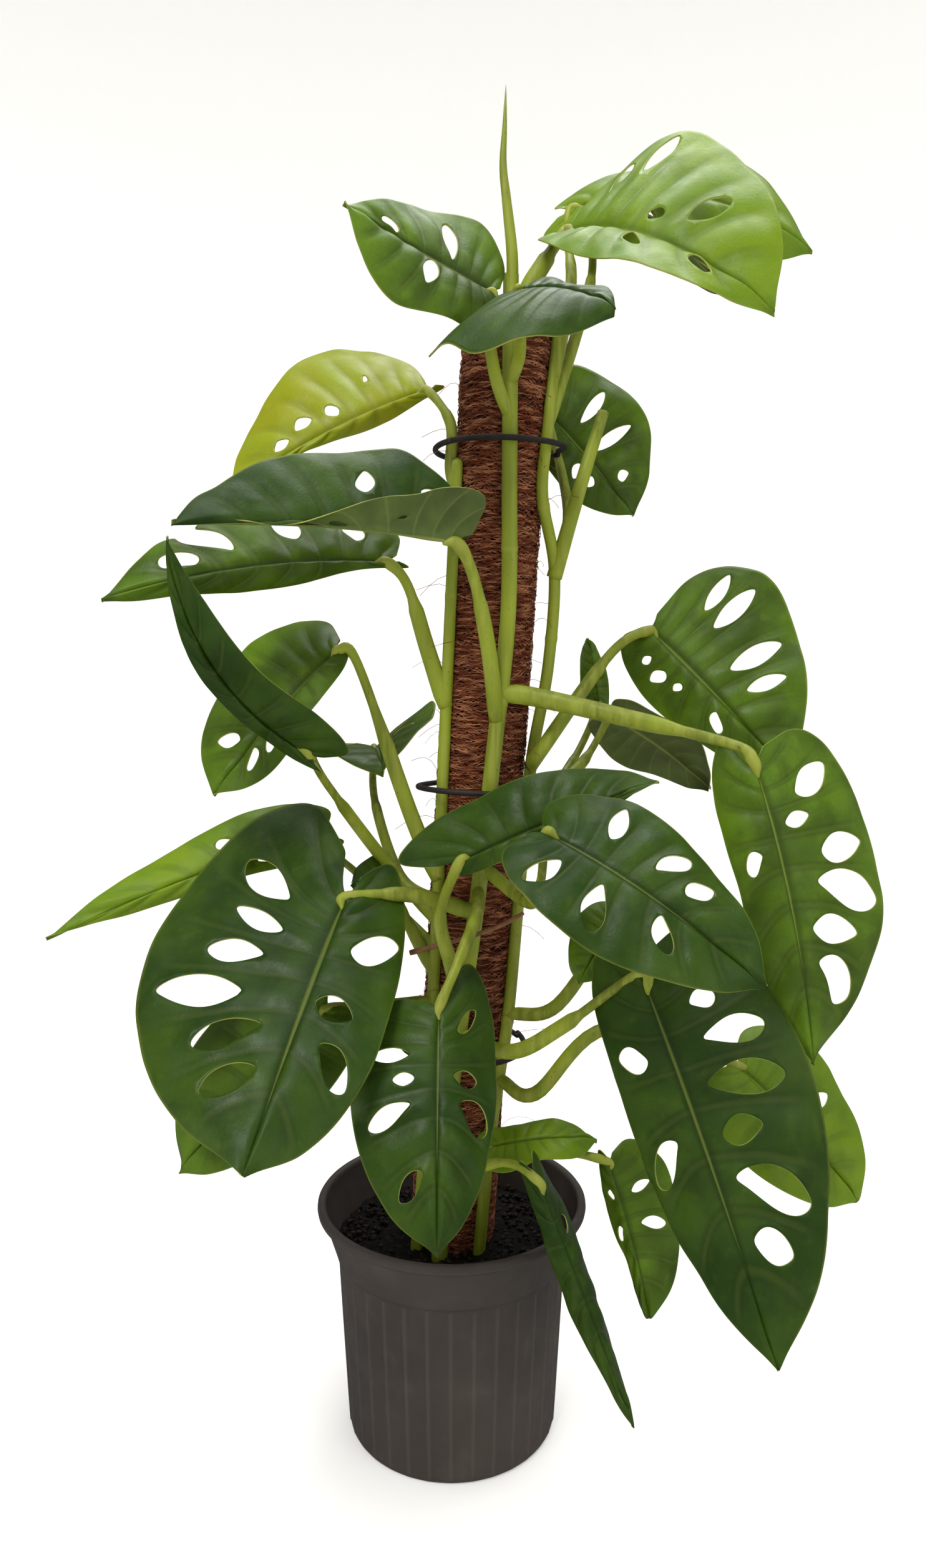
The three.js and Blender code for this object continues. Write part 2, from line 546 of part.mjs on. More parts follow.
// A blade of even thickness: both faces, and a wall along every edge and hole.
function bladeGeometry(leaf) {
  const spots = [];
  const indexOf = new Map();
  const spotIndex = (p) => {
    const key = `${p.x.toFixed(5)},${p.y.toFixed(5)}`;
    if (!indexOf.has(key)) {
      indexOf.set(key, spots.length);
      spots.push(p);
    }
    return indexOf.get(key);
  };
  const faces = [];
  for (const side of [-1, 1]) {
    for (let panel = 0; panel < PANELS.length - 1; panel += 1) {
      const { contour, holes } = panelLayout(leaf, panel, side);
      if (THREE.ShapeUtils.isClockWise(contour)) contour.reverse();
      holes.forEach((ring) => THREE.ShapeUtils.isClockWise(ring) || ring.reverse());
      const ids = [contour, ...holes].flat().map(spotIndex);
      for (const [a, b, c] of THREE.ShapeUtils.triangulateShape(contour, holes)) {
        faces.push([ids[a], ids[c], ids[b]]);
      }
    }
  }
  const positions = [];
  for (const shift of [0.5, -0.5]) {
    for (const spot of spots) {
      const at = bladePoint(leaf, spot.x, spot.y);
      at.addScaledVector(bladeNormal(leaf, spot.x, spot.y), shift * BLADE_THICKNESS);
      positions.push(...at.toArray());
    }
  }
  const under = spots.length;
  const edges = new Set(faces.flatMap(([a, b, c]) => [`${a}_${b}`, `${b}_${c}`, `${c}_${a}`]));
  const index = [];
  for (const [a, b, c] of faces) {
    index.push(a, b, c, a + under, c + under, b + under);
    for (const [from, to] of [[a, b], [b, c], [c, a]]) {
      if (!edges.has(`${to}_${from}`)) index.push(to, from, from + under, to, from + under, to + under);
    }
  }
  const geometry = new THREE.BufferGeometry();
  geometry.setAttribute('position', new THREE.Float32BufferAttribute(positions, 3));
  geometry.setIndex(index);
  return geometry;
}

// ---- Pole and vines, in heights above the soil ----
const aboveSoil = new THREE.Group();
aboveSoil.position.z = soilLevel;
plant.add(aboveSoil);

function aroundPole(degrees, height, distance) {
  const angle = THREE.MathUtils.degToRad(degrees);
  const sideways = POLE_LEAN * height + distance * Math.cos(angle);
  return new THREE.Vector3(sideways, distance * Math.sin(angle), height);
}

function vinePoints(vine) {
  return vine.route.map(([degrees, height, off]) => {
    return aroundPole(degrees, height, POLE_RADIUS + vine.radius + CLEARANCE + off);
  });
}

function vinePointAt(vine, height) {
  const route = vine.route;
  let i = 0;
  while (i < route.length - 2 && height > route[i + 1][1]) i += 1;
  const share = (height - route[i][1]) / (route[i + 1][1] - route[i][1]);
  const degrees = THREE.MathUtils.lerp(route[i][0], route[i + 1][0], share);
  const off = THREE.MathUtils.lerp(route[i][2], route[i + 1][2], share);
  return aroundPole(degrees, height, POLE_RADIUS + vine.radius + CLEARANCE + off);
}

// A point that is measured from the node where its stalk leaves the vine.
function fromNode(stalk, offset) {
  return vinePointAt(VINES[stalk.vine], stalk.node).add(new THREE.Vector3(...offset));
}

const VINE_SIDES = 8;
const VINE_STEPS = 20;
const vineTube = (vine, extra) => tube(vinePoints(vine), vine.radius + extra, VINE_SIDES, VINE_STEPS);
for (const [name, vine] of Object.entries(VINES)) {
  add(`vine_${name}`, vineTube(vine, 0), STEM(), aboveSoil);
  vine.cutter = solidOf(vineTube(vine, CLEARANCE));
}

const pole = new THREE.Group();
pole.position.z = soilLevel;
pole.rotation.y = Math.atan(POLE_LEAN);
plant.add(pole);
const poleTop = POLE_LENGTH - POLE_DEPTH;
const sleeveBore = POLE_CORE_RADIUS + CLEARANCE;
const POLE_SIDES = 24;
add('coir_sleeve', lathe([
  [sleeveBore, -POLE_DEPTH],
  [POLE_RADIUS, -POLE_DEPTH],
  [POLE_RADIUS, poleTop],
  [sleeveBore, poleTop],
  [sleeveBore, -POLE_DEPTH],
], POLE_SIDES), COIR(), pole);
add('pole_core', lathe([
  [0, -POLE_DEPTH],
  [POLE_CORE_RADIUS, -POLE_DEPTH],
  [POLE_CORE_RADIUS, poleTop + POLE_CORE_REVEAL],
  [0, poleTop + POLE_CORE_REVEAL],
], 16), CORE_PLASTIC(), pole);

// ---- Stalks and leaves ----
const STALK_SIDES = 5;
const STALK_STEPS_PER_POINT = 2;
const STALK_GRIP = 0.008;

// A stalk's first point stands off its vine by what its own end ring needs to clear the vine.
function stalkTube(stalk, end) {
  const vine = VINES[stalk.vine];
  const centre = vinePointAt(vine, stalk.node);
  const points = [...stalk.stalk.map((p) => fromNode(stalk, p)), ...end];
  const heading = points[0].clone().sub(centre).normalize();
  const outwards = heading.clone().setZ(0).normalize();
  const standOff = vine.radius + CLEARANCE + STALK_RADIUS * Math.abs(heading.z);
  const start = centre.addScaledVector(outwards, standOff);
  return tube([start, ...points], STALK_RADIUS, STALK_SIDES, STALK_STEPS_PER_POINT * points.length);
}

for (const leaf of LEAVES) {
  const stalk = stalkTube(leaf, [bladePoint(leaf, STALK_GRIP, 0)]);
  const solid = solidOf(bladeGeometry(leaf)).add(solidOf(stalk));
  add(leaf.name, geometryOf(solid), leaf.pale ? PALE_LEAF() : LEAF(), aboveSoil);
}
add('cut_stalk', stalkTube(CUT_STALK, []), CUT_WOOD(), aboveSoil);

// ---- Rolled new leaf at the tip of the front vine ----
const spikeFoot = vinePoints(VINES.front).at(-1);
const spike = lathe([
  [0, 0],
  [SPIKE_RADIUS, 0],
  [SPIKE_RADIUS * 0.95, SPIKE_LENGTH * 0.5],
  [SPIKE_RADIUS * 0.6, SPIKE_LENGTH * 0.8],
  [0.6, SPIKE_LENGTH],
  [0, SPIKE_LENGTH],
], 10);
const spikeMesh = add('new_leaf_spike', spike, PALE_LEAF(), aboveSoil);
spikeMesh.position.copy(spikeFoot).add(new THREE.Vector3(0, 0, CLEARANCE + 2));
spikeMesh.rotation.y = -0.06;

// ---- Ties and the root across the pole ----
const tieRing = POLE_RADIUS + 2 * FRONT_VINE_RADIUS + 2 * CLEARANCE + TIE_RADIUS + TIE_SLACK;
for (const [name, height] of Object.entries(TIE_HEIGHTS)) {
  const ring = new THREE.TorusGeometry(tieRing, TIE_RADIUS, 5, 16);
  add(name, ring, TIE(), aboveSoil).position.set(POLE_LEAN * height, 0, height);
}
const vineFace = POLE_RADIUS + 2 * FRONT_VINE_RADIUS + CLEARANCE;
const rootPoints = AERIAL_ROOT.map(([degrees, height, off]) => aroundPole(degrees, height, vineFace + off));
add('aerial_root', tube(rootPoints, ROOT_RADIUS, 6, 12), ROOT(), aboveSoil);

// ---- Pot ----
const collarTopRadius = POT_RIM_RADIUS - RIM_OVERHANG;
const collarFootRadius = collarTopRadius - COLLAR_TAPER;
const bodyTopRadius = collarFootRadius - COLLAR_STEP;
const lipFoot = POT_HEIGHT - RIM_LIP_HEIGHT;
const collarFoot = lipFoot - COLLAR_HEIGHT;
const lipRound = 2;
const lipInner = collarTopRadius - POT_WALL - 1;
// The wall's inner face, from the floor up.
const potInside = [
  [POT_BASE_RADIUS - POT_WALL, POT_FLOOR],
  [bodyTopRadius - POT_WALL, collarFoot - POT_WALL],
  [collarFootRadius - POT_WALL, collarFoot + POT_WALL],
  [lipInner, lipFoot],
  [lipInner, POT_HEIGHT],
];
const potShell = solidOf(lathe([
  [0, 0],
  [POT_BASE_RADIUS - FOOT_CHAMFER, 0],
  [POT_BASE_RADIUS, FOOT_CHAMFER],
  [bodyTopRadius, collarFoot],
  [collarFootRadius, collarFoot],
  [collarTopRadius, lipFoot],
  [POT_RIM_RADIUS, lipFoot + lipRound],
  [POT_RIM_RADIUS, POT_HEIGHT - lipRound],
  [POT_RIM_RADIUS - lipRound, POT_HEIGHT],
  ...potInside.toReversed(),
  [0, POT_FLOOR],
], POT_FACETS));
const drill = new THREE.CylinderGeometry(DRAIN_RADIUS, DRAIN_RADIUS, 4 * POT_FLOOR, 8).rotateX(Math.PI / 2);
let pot = potShell;
for (let i = 0; i < DRAIN_HOLES; i += 1) {
  const angle = (2 * Math.PI * i) / DRAIN_HOLES;
  const hole = drill.clone().translate(DRAIN_CIRCLE * Math.cos(angle), DRAIN_CIRCLE * Math.sin(angle), 0);
  pot = pot.subtract(solidOf(hole));
}
add('nursery_pot', geometryOf(pot), POT_PLASTIC());

// ---- Soil, with pockets for the pole and the vines ----
function insideRadius(height) {
  let i = 0;
  while (i < potInside.length - 2 && height > potInside[i + 1][1]) i += 1;
  const [[low, from], [high, to]] = [potInside[i], potInside[i + 1]];
  return THREE.MathUtils.mapLinear(height, from, to, low, high);
}
const soilRadius = (height) => insideRadius(height) - CLEARANCE;
const soilFoot = POT_FLOOR + CLEARANCE;
const levels = potInside.map((point) => point[1]);
const bends = levels.filter((height) => height > soilFoot && height < soilLevel);
const soilBody = solidOf(lathe([
  [0, soilFoot],
  ...[soilFoot, ...bends, soilLevel].map((height) => [soilRadius(height), height]),
  [0.6 * soilRadius(soilLevel), soilLevel + SOIL_MOUND],
  [0, soilLevel + SOIL_MOUND],
], POT_FACETS));
const socketRadius = POLE_RADIUS + CLEARANCE;
const socketLength = 2 * (POLE_DEPTH + CLEARANCE);
const socket = new THREE.CylinderGeometry(socketRadius, socketRadius, socketLength, POLE_SIDES);
pole.updateMatrixWorld(true);
let soil = soilBody.subtract(solidOf(socket.rotateX(Math.PI / 2).applyMatrix4(pole.matrixWorld)));
for (const vine of Object.values(VINES)) {
  soil = soil.subtract(vine.cutter.translate(0, 0, soilLevel));
}
add('potting_soil', geometryOf(soil), SOIL());

export default plant;
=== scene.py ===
import math
import random

import bmesh
import bpy
from bpy.props import FloatProperty, FloatVectorProperty, IntProperty, PointerProperty
from mathutils import Matrix, Vector, noise


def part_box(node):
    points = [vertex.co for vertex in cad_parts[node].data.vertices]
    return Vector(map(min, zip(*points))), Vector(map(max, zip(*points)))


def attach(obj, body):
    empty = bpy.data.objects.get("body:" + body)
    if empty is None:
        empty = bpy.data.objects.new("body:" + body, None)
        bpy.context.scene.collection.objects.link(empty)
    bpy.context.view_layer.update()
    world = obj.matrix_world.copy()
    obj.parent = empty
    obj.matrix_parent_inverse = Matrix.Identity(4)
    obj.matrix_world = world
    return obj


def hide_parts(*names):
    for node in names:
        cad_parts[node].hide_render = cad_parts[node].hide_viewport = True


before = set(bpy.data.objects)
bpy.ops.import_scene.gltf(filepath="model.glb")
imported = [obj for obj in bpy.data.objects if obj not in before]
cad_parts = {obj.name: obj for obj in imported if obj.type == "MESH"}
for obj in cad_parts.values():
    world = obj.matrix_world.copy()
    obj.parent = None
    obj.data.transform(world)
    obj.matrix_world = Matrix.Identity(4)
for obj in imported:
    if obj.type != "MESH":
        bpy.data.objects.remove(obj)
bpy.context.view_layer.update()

bl_info = {
    "name": "Potted Monstera",
    "version": (1, 0, 0),
    "blender": (4, 5, 0),
    "location": "View3D > Sidebar > Monstera",
    "description": "Dresses a packed monstera frame with leaves, stems, coir, soil and a pot",
    "category": "Add Mesh",
}

MM = 0.001
SOIL_LEVEL = 172.0  # millimetres above the floor
POLE_LEAN = 0.06  # millimetres to the right for each one up


# ---- Leaf shape ----
# Shares of the midrib's length. Each column of the first four has one entry for each side vein,
# from the stalk to the tip.
VEIN_START = (0, 0.035, 0.10, 0.17, 0.26, 0.36, 0.48, 0.61, 0.75, 0.88, 1)
VEIN_END = (-0.04, -0.08, -0.02, 0.115, 0.28, 0.445, 0.615, 0.775, 0.90, 0.965, 1)
HALF_WIDTH = (0.12, 0.42, 0.74, 0.93, 1.0, 0.98, 0.88, 0.68, 0.40, 0.12, 0.008)
LOBE_REACH = (0.5, 1, 0.95, 0.7, 0.4, 0.18, 0.05, 0, 0, 0, 0)
STATIONS = (0, 0.2, 0.45, 0.7, 0.9)  # where a leaf's own widths are given
# The panels between side veins, and the grid's columns and rows inside them.
PANELS = (0, 0.035, 0.10, 0.17, 0.26, 0.36, 0.48, 0.61, 0.75, 1)
ACROSS = (0, 0.03, 0.09, 0.17, 0.26, 0.36, 0.46, 0.56, 0.66, 0.76, 0.85, 0.93, 1)
ALONG = (0, 0.22, 0.5, 0.78)
VEIN_SWEEP = 1.6
HOLE_SHARE = 0.62  # of its panel's height, where a hole names no share of its own
RUFFLE = 4.5  # millimetres
RUFFLES = 9
QUILTED_PANEL = 0.022
QUILT_FROM_MIDRIB = 0.22
GROOVE_WIDTH = 0.035
RUMPLES = ((0.0022, 34), (0.0008, 110))  # height in metres, and how close together
NORMAL_STEP = 0.02
STEM_GAP = 0.4  # millimetres between a stem and the coir

# Each leaf, in millimetres from the place where its stalk leaves its stem. half holds the widths
# left and right of the midrib. A hole is (panel, inner edge, outer edge, share of the panel).
# tone picks a leaf's green: deep also holds painted shade, bright and yellow also hold painted
# light.
LEAVES = [
    dict(name="crown_right", vine="front", node=768, stalk=[(12.9, -5.1, 33), (23.9, -2.1, 52)],
         base=(41.9, 10.9, 82), tip=(179.9, -97.1, -9), face=(-0.3, -0.8, 0.5), half=(94, 46),
         fold=(-5, -30), arch=28, lobe=(0, -0.06),
         shape=((1.3, 1.15, 1.03, 1, 1.1), (1, 1, 1, 1, 1)), tone="bright", stout=1.3,
         holes_left=[(2, 0.4, 0.7), (3, 0.5, 0.95), (5, 0.12, 0.25), (6, 0.25, 0.7)],
         holes_right=[(5, 0.2, 0.6), (7, 0.2, 0.7)]),
    dict(name="crown_right_back", vine="right", node=743,
         stalk=[(14.6, 16.5, 75), (14.6, 42.5, 120)],
         base=(16.6, 54.5, 150), tip=(209.6, 14.5, 103), face=(0.1, -0.85, 0.5), half=(70, 45),
         fold=(0, 10), curl=(20, 20), arch=32, shape=((0.3, 0.6, 1, 1, 1), (1, 1, 1, 1, 1)),
         tone="bright", fine=1,
         holes_left=[(4, 0.3, 0.7)],
         holes_right=[(4, 0.3, 0.7)]),
    dict(name="crown_right_low", vine="right", node=708,
         stalk=[(34.5, 44.5, 110), (41.5, 70.5, 157)],
         base=(40.5, 93.5, 195), tip=(160.5, 88.5, 124), face=(0.2, -0.1, 0.95), half=(45, 40),
         curl=(20, 20), arch=18, fine=1,
         holes_right=[(4, 0.3, 0.7)]),
    dict(name="crown_left", vine="front", node=708, stalk=[(-11.1, -12.3, 25), (-17.1, -17.3, 60)],
         base=(-13.1, -27.3, 85), tip=(-121.1, -85.3, 126), face=(0.1, -0.65, 0.75), half=(58, 60),
         fold=(5, -25), curl=(55, 15), arch=0, taper=0.85,
         shape=((0.6, 0.8, 1, 1, 1), (1.1, 1.05, 0.95, 0.5, 0.25)),
         holes_left=[(5, 0.1, 0.6, 0.8)],
         holes_right=[(4, 0.1, 0.75, 0.85), (7, 0.1, 0.6)]),
    dict(name="crown_front", vine="front", node=733, stalk=[(6.9, -19.2, 21)],
         base=(1.9, -71.2, 49), tip=(65.9, -121.2, 21), face=(0, -0.3, 0.95), half=(20, 80),
         fold=(-8, 14), curl=(0, 30), lobe=(0, 0.38), tone="deep", fine=1),
    dict(name="left_yellow", vine="left", node=655, stalk=[(-4.5, 8.4, 18), (-4.5, 6.4, 53)],
         base=(-23.5, 17.4, 82), tip=(-181.5, -17.6, -6), face=(-0.2, -0.8, 0.5), half=(12, 84),
         fold=(65, -5), curl=(20, 15), arch=10, taper=0.85, lobe=(0, -0.05),
         shape=((1, 1, 1, 1, 1), (0.8, 1.15, 1, 0.92, 0.9)), tone="yellow",
         holes_right=[(3, 0.3, 0.4, 0.5), (5, 0.1, 0.28, 0.6), (6, 0.18, 0.4, 0.8),
             (7, 0.12, 0.35, 0.6)]),
    dict(name="back_right", vine="right", node=588, stalk=[(13.6, 30.4, 55)],
         base=(-0.4, 79.4, 145), tip=(76.6, 79.4, 56), face=(0, -0.9, 0.4), half=(76, 36),
         arch=6, lobe=(0.16, -0.05), fine=1,
         holes_left=[(3, 0.2, 0.8, 0.7), (5, 0.1, 0.75, 0.7), (7, 0.2, 0.5)],
         holes_right=[(5, 0.3, 0.7), (6, 0.3, 0.6)]),
    dict(name="left_folded", vine="front", node=468,
         stalk=[(-7.9, -18.2, 60), (-18.9, -33.2, 111)],
         base=(-30.9, -43.2, 138), tip=(-232.9, -108.2, 145), face=(0, 0.1, 1), half=(60, 98),
         fold=(-75, -74), arch=6, shape=((1.6, 0.45, 0.1, 0.03, 0.03),
         (0.4, 0.8, 0.72, 0.5, 0.9)), tone="deep", stout=1.35,
         holes_left=[(3, 0.4, 0.5)],
         holes_right=[(2, 0.5, 0.75), (4, 0.4, 0.7)]),
    dict(name="left_pale", vine="left", node=478, stalk=[(-16, 5.4, 50), (-31, 0.4, 99)],
         base=(-46, -4.6, 118), tip=(-252, -94.6, 85), face=(0, -0.75, 0.65), half=(24, 56),
         fold=(60, -10), curl=(20, 10), arch=14, shape=((0.3, 0.5, 0.9, 1.1, 1), (1, 1, 1, 1, 1)),
         stout=1.25,
         holes_right=[(2, 0.4, 0.8, 0.8), (4, 0.35, 0.97, 0.75), (6, 0.3, 0.97, 0.75),
             (7, 0.2, 0.75, 0.75)]),
    dict(name="left_twisted", vine="left", node=298,
         stalk=[(-47.8, 23.5, 50), (-87.8, -21.5, 118)],
         base=(-96.8, -61.5, 146), tip=(-186.8, -121.5, 307), face=(-0.3, -0.9, 0.3),
         half=(13, 30),
         arch=10, sway=-22, taper=0.85, shape=((1, 1, 1, 1, 1), (1.2, 1.2, 0.9, 0.6, 0.6)),
         tone="deep"),
    dict(name="left_hanging", vine="left", node=333, stalk=[(-24.4, 5.9, 58), (-66.4, 7.9, 180)],
         base=(-82.4, 7.9, 193), tip=(-179.4, -32.1, 75), face=(-0.3, -0.8, 0.5), half=(36, 78),
         lobe=(-0.06, 0.03), shape=((0.3, 0.6, 0.9, 1.1, 1.1), (1, 1, 1, 1, 1)), fine=1, stout=1.2,
         holes_left=[(6, 0.2, 0.7, 0.7), (7, 0.25, 0.7)],
         holes_right=[(5, 0.3, 0.7, 0.7), (7, 0.2, 0.7)]),
    dict(name="left_back", vine="left", node=313, stalk=[(-33.5, 38.2, 15), (-57.5, 68.2, 78)],
         base=(-61.5, 113.2, 120), tip=(-46.5, 28.2, 107), face=(0, -0.2, 1), half=(65, 55),
         fold=(-35, -10), curl=(0, 15), arch=10, fine=1,
         holes_left=[(4, 0.2, 0.6), (5, 0.3, 0.7)],
         holes_right=[(4, 0.3, 0.6)]),
    dict(name="left_low_back", vine="left", node=253, stalk=[(-16.6, 2.9, 31)],
         base=(-30.6, 12.9, 61), tip=(-67.6, -5.1, 79), face=(0, -0.6, 0.8), half=(30, 40),
         arch=6, tone="deep", fine=1),
    dict(name="left_big", vine="front", node=308, stalk=[(-50.6, -22.2, 20)],
         base=(-103.6, -32.2, 22), tip=(-156.6, -207.2, -128), face=(-0.1, -0.85, 0.5),
         half=(66, 134),
         fold=(10, 0), arch=5, taper=1.12, lobe=(0.1, 0.34),
         shape=((0.75, 0.85, 1, 1, 1.1), (1.05, 1.05, 1, 0.9, 0.95)), tone="deep", stout=1.15,
         holes_left=[(3, 0.3, 0.95, 0.85), (5, 0.1, 0.6, 0.7), (6, 0.35, 0.9, 0.7)],
         holes_right=[(2, 0.35, 0.8, 0.8), (3, 0.25, 0.6), (4, 0.3, 0.65, 0.7),
             (5, 0.35, 0.9, 0.7), (6, 0.2, 0.7, 0.6), (7, 0.2, 0.75)]),
    dict(name="left_far", vine="left", node=273, stalk=[(-61.6, 64.8, 43), (-94.6, 68.8, 71)],
         base=(-104.6, 56.8, 89), tip=(-322.6, -18.2, 13), face=(0, -0.8, 0.6), half=(22, 52),
         fold=(20, 0), arch=12, taper=0.4, shape=((1, 1, 0.8, 0.5, 0.5), (1, 1, 0.95, 0.7, 0.5)),
         tone="bright", fine=1,
         holes_left=[(3, 0.2, 0.6)],
         holes_right=[(4, 0.2, 0.6)]),
    dict(name="left_behind", vine="left", node=228, stalk=[(-34.2, -10.9, 0)],
         base=(-83.2, -40.9, 8), tip=(-205.2, -60.9, -125), face=(-0.2, -0.8, 0.5), half=(50, 75),
         fine=1),
    dict(name="centre_front", vine="front", node=328,
         stalk=[(-3.1, -37.2, -15), (-18.1, -72.2, -45)],
         base=(-31.1, -87.2, -72), tip=(-31.1, -187.2, -216), face=(0, -0.8, 0.5), half=(54, 70),
         fold=(20, 5), curl=(25, 15), arch=10, taper=0.85, lobe=(0.16, -0.03), tone="deep",
         stout=1.1,
         holes_left=[(2, 0.3, 0.7, 0.7), (4, 0.2, 0.6), (5, 0.3, 0.9, 0.8)],
         holes_right=[(3, 0.3, 0.8), (4, 0.25, 0.5), (5, 0.3, 0.85), (7, 0.25, 0.8)]),
    dict(name="centre_right", vine="front", node=228,
         stalk=[(-9.8, -32.3, 46), (-17.8, -35.3, 87)],
         base=(-2.8, -52.3, 133), tip=(149.2, -67.3, 198), face=(0.1, -0.8, 0.6), half=(46, 14),
         fold=(-5, 30), curl=(10, -20), lobe=(0.2, -0.05),
         shape=((1, 1, 0.9, 0.9, 1), (1, 1.1, 0.8, 0.6, 0.6)), tone="deep", stout=1.25),
    dict(name="right_dark", vine="front", node=348, stalk=[(36.8, -37.3, -22), (42.8, -91.3, 6)],
         base=(44.8, -117.3, 48), tip=(189.8, -172.3, -51), face=(0.1, -0.7, 0.7), half=(65, 62),
         curl=(10, 15), arch=12, taper=0.9, tone="deep",
         holes_left=[(3, 0.3, 0.85), (5, 0.3, 0.8), (6, 0.3, 0.8)],
         holes_right=[(2, 0.3, 0.9, 0.75), (4, 0.25, 0.85, 0.8), (6, 0.2, 0.7)]),
    dict(name="right_upper", vine="right", node=428, stalk=[(7.3, -19.5, 15), (66.3, -4.5, 95)],
         base=(100.3, 10.5, 114), tip=(203.3, -49.5, 0), face=(0.05, -1, 0.1), half=(92, 45),
         fold=(0, 20), curl=(10, 15), arch=6, taper=0.9,
         shape=((1.25, 1.2, 1, 0.92, 0.9), (1, 1, 1, 1, 1)), stout=1.2,
         holes_left=[(2, 0.45, 0.9, 0.6), (3, 0.35, 0.85, 0.8), (5, 0.25, 0.85, 0.7),
             (6, 0.3, 0.8, 0.5)],
         holes_right=[(2, 0.4, 0.65, 0.5), (3, 0.35, 0.7, 0.7), (4, 0.3, 0.5, 0.5),
             (6, 0.25, 0.65, 0.6)]),
    dict(name="right_big", vine="front", node=490,
         stalk=[(24.9, -3.5, -2), (86.9, -28.5, -15), (174.9, -58.5, -36)],
         base=(188.9, -73.5, -47), tip=(231.9, -108.5, -272), face=(0.3, -0.9, 0.2),
         half=(102, 40),
         fold=(5, 42), curl=(15, 20), arch=12, stout=1.3,
         holes_left=[(2, 0.3, 0.85, 0.9), (3, 0.1, 0.35, 0.6), (4, 0.35, 0.85, 0.8),
             (5, 0.25, 0.95, 0.9), (6, 0.15, 0.7, 0.7), (7, 0.2, 0.85, 0.9)],
         holes_right=[(4, 0.3, 0.7)]),
    dict(name="right_huge", vine="front", node=203, stalk=[(42.4, -37.5, -1), (81.4, -77.5, 35)],
         base=(134.4, -107.5, 86), tip=(222.4, -187.5, -175), face=(0.1, -0.9, 0.3),
         half=(100, 58),
         fold=(0, 40), curl=(15, 20), arch=10, tone="deep", stout=1.1,
         holes_left=[(2, 0.3, 0.55), (3, 0.25, 0.8), (4, 0.15, 0.8, 0.75), (5, 0.15, 0.5),
             (6, 0.15, 0.85, 0.75), (7, 0.2, 0.7)],
         holes_right=[(3, 0.3, 0.8), (5, 0.3, 0.9)]),
    dict(name="right_low_back", vine="right", node=158, stalk=[(29, -33.2, 0), (88, -43.2, 60)],
         base=(200, -23.2, 21), tip=(298, -43.2, -89), face=(0.2, -0.8, 0.5), half=(65, 55),
         arch=10, tone="bright", fine=1,
         holes_left=[(5, 0.3, 0.7)]),
    dict(name="right_back", vine="right", node=388, stalk=[(51.7, 51.5, 36)],
         base=(80.7, 81.5, 77), tip=(175.7, 91.5, 9), face=(0, 0.5, 0.8), half=(45, 45),
         curl=(10, 10), arch=6, fine=1),
    dict(name="right_young", vine="right", node=368, stalk=[(53.5, 97, 60)],
         base=(76.5, 122, 105), tip=(67.5, 137, 168), face=(0, -1, 0), half=(16, 16),
         fold=(30, 30), curl=(10, 10), arch=2, fine=1),
    dict(name="rim_front", vine="front", node=78, stalk=[(-7.2, -18.7, 6), (48.8, -58.7, 39)],
         base=(75.8, -83.7, 36), tip=(148.8, -108.7, -153), face=(0.3, -0.9, 0.2), half=(42, 22),
         fold=(55, 60), curl=(10, 10), arch=4, tone="deep",
         holes_left=[(3, 0.2, 0.6)]),
    dict(name="rim_right", vine="right", node=103, stalk=[(26.9, -28.5, 10), (58.9, -38.5, 10)],
         base=(96.9, -43.5, 3), tip=(127.9, -78.5, -113), face=(0.3, -0.9, 0.2), half=(58, 18),
         fold=(10, 60), curl=(15, 20), arch=6,
         holes_left=[(3, 0.2, 0.6), (5, 0.2, 0.7)],
         holes_right=[(3, 0.2, 0.6), (5, 0.2, 0.7)]),
    dict(name="rim_yellow", vine="right", node=90, stalk=[(-3.7, -18.1, 10)],
         base=(-1.7, -34.1, 24), tip=(89.3, -38.1, 33), face=(0, -0.4, 0.9), half=(22, 25),
         arch=6, tone="bright", fine=1),
    dict(name="right_mid_back", vine="right", node=213, stalk=[(41.2, -19.7, 15)],
         base=(89.2, -29.7, 95), tip=(56.2, -39.7, 40), face=(0, -0.7, 0.6), half=(20, 28),
         arch=4, fine=1),
]


# Climbing routes: (degrees round the pole, height above the soil, stand-off from the coir).
VINES = {
    "front": dict(radius=6.5, route=[
        (-104, -30, 0), (-104, 0, 0), (-106, 100, 0), (-96, 220, 0), (-86, 320, 0), (-79, 430, 0),
        (-72, 550, 0), (-80, 660, 0), (-88, 760, 0), (-92, 815, 0)]),
    "right": dict(radius=5.0, route=[
        (-58, -30, 0), (-55, 0, 0), (-50, 100, 0), (-40, 160, 0), (-28, 220, 0), (-18, 330, 0),
        (-14, 430, 2), (-6, 510, 10), (-6, 590, 10), (-30, 650, 0), (-28, 700, 0), (-14, 780, 0)]),
    "left": dict(radius=5.0, route=[
        (-140, -30, 0), (-138, 0, 0), (-134, 110, 0), (-136, 280, 0), (-141, 440, 0),
        (-145, 570, 0), (-148, 680, 0)]),
}
POLE_RADIUS = 36.0
CUT_STALK = dict(vine="right", node=585, stalk=[(17.8, -6.6, 65), (40.8, 15.4, 137)])
# The root's way round the pole: degrees, height, and stand-off from the front stem's face.
AERIAL_ROOT = [(-135, 276, 22), (-115, 284, 10), (-93, 291, 8), (-69, 300, 11), (-49, 309, 14)]
# Heights above the soil, which also set where each wire wavers.
TIE_HEIGHTS = {"tie_top": 690, "tie_middle": 409, "tie_low": 180}


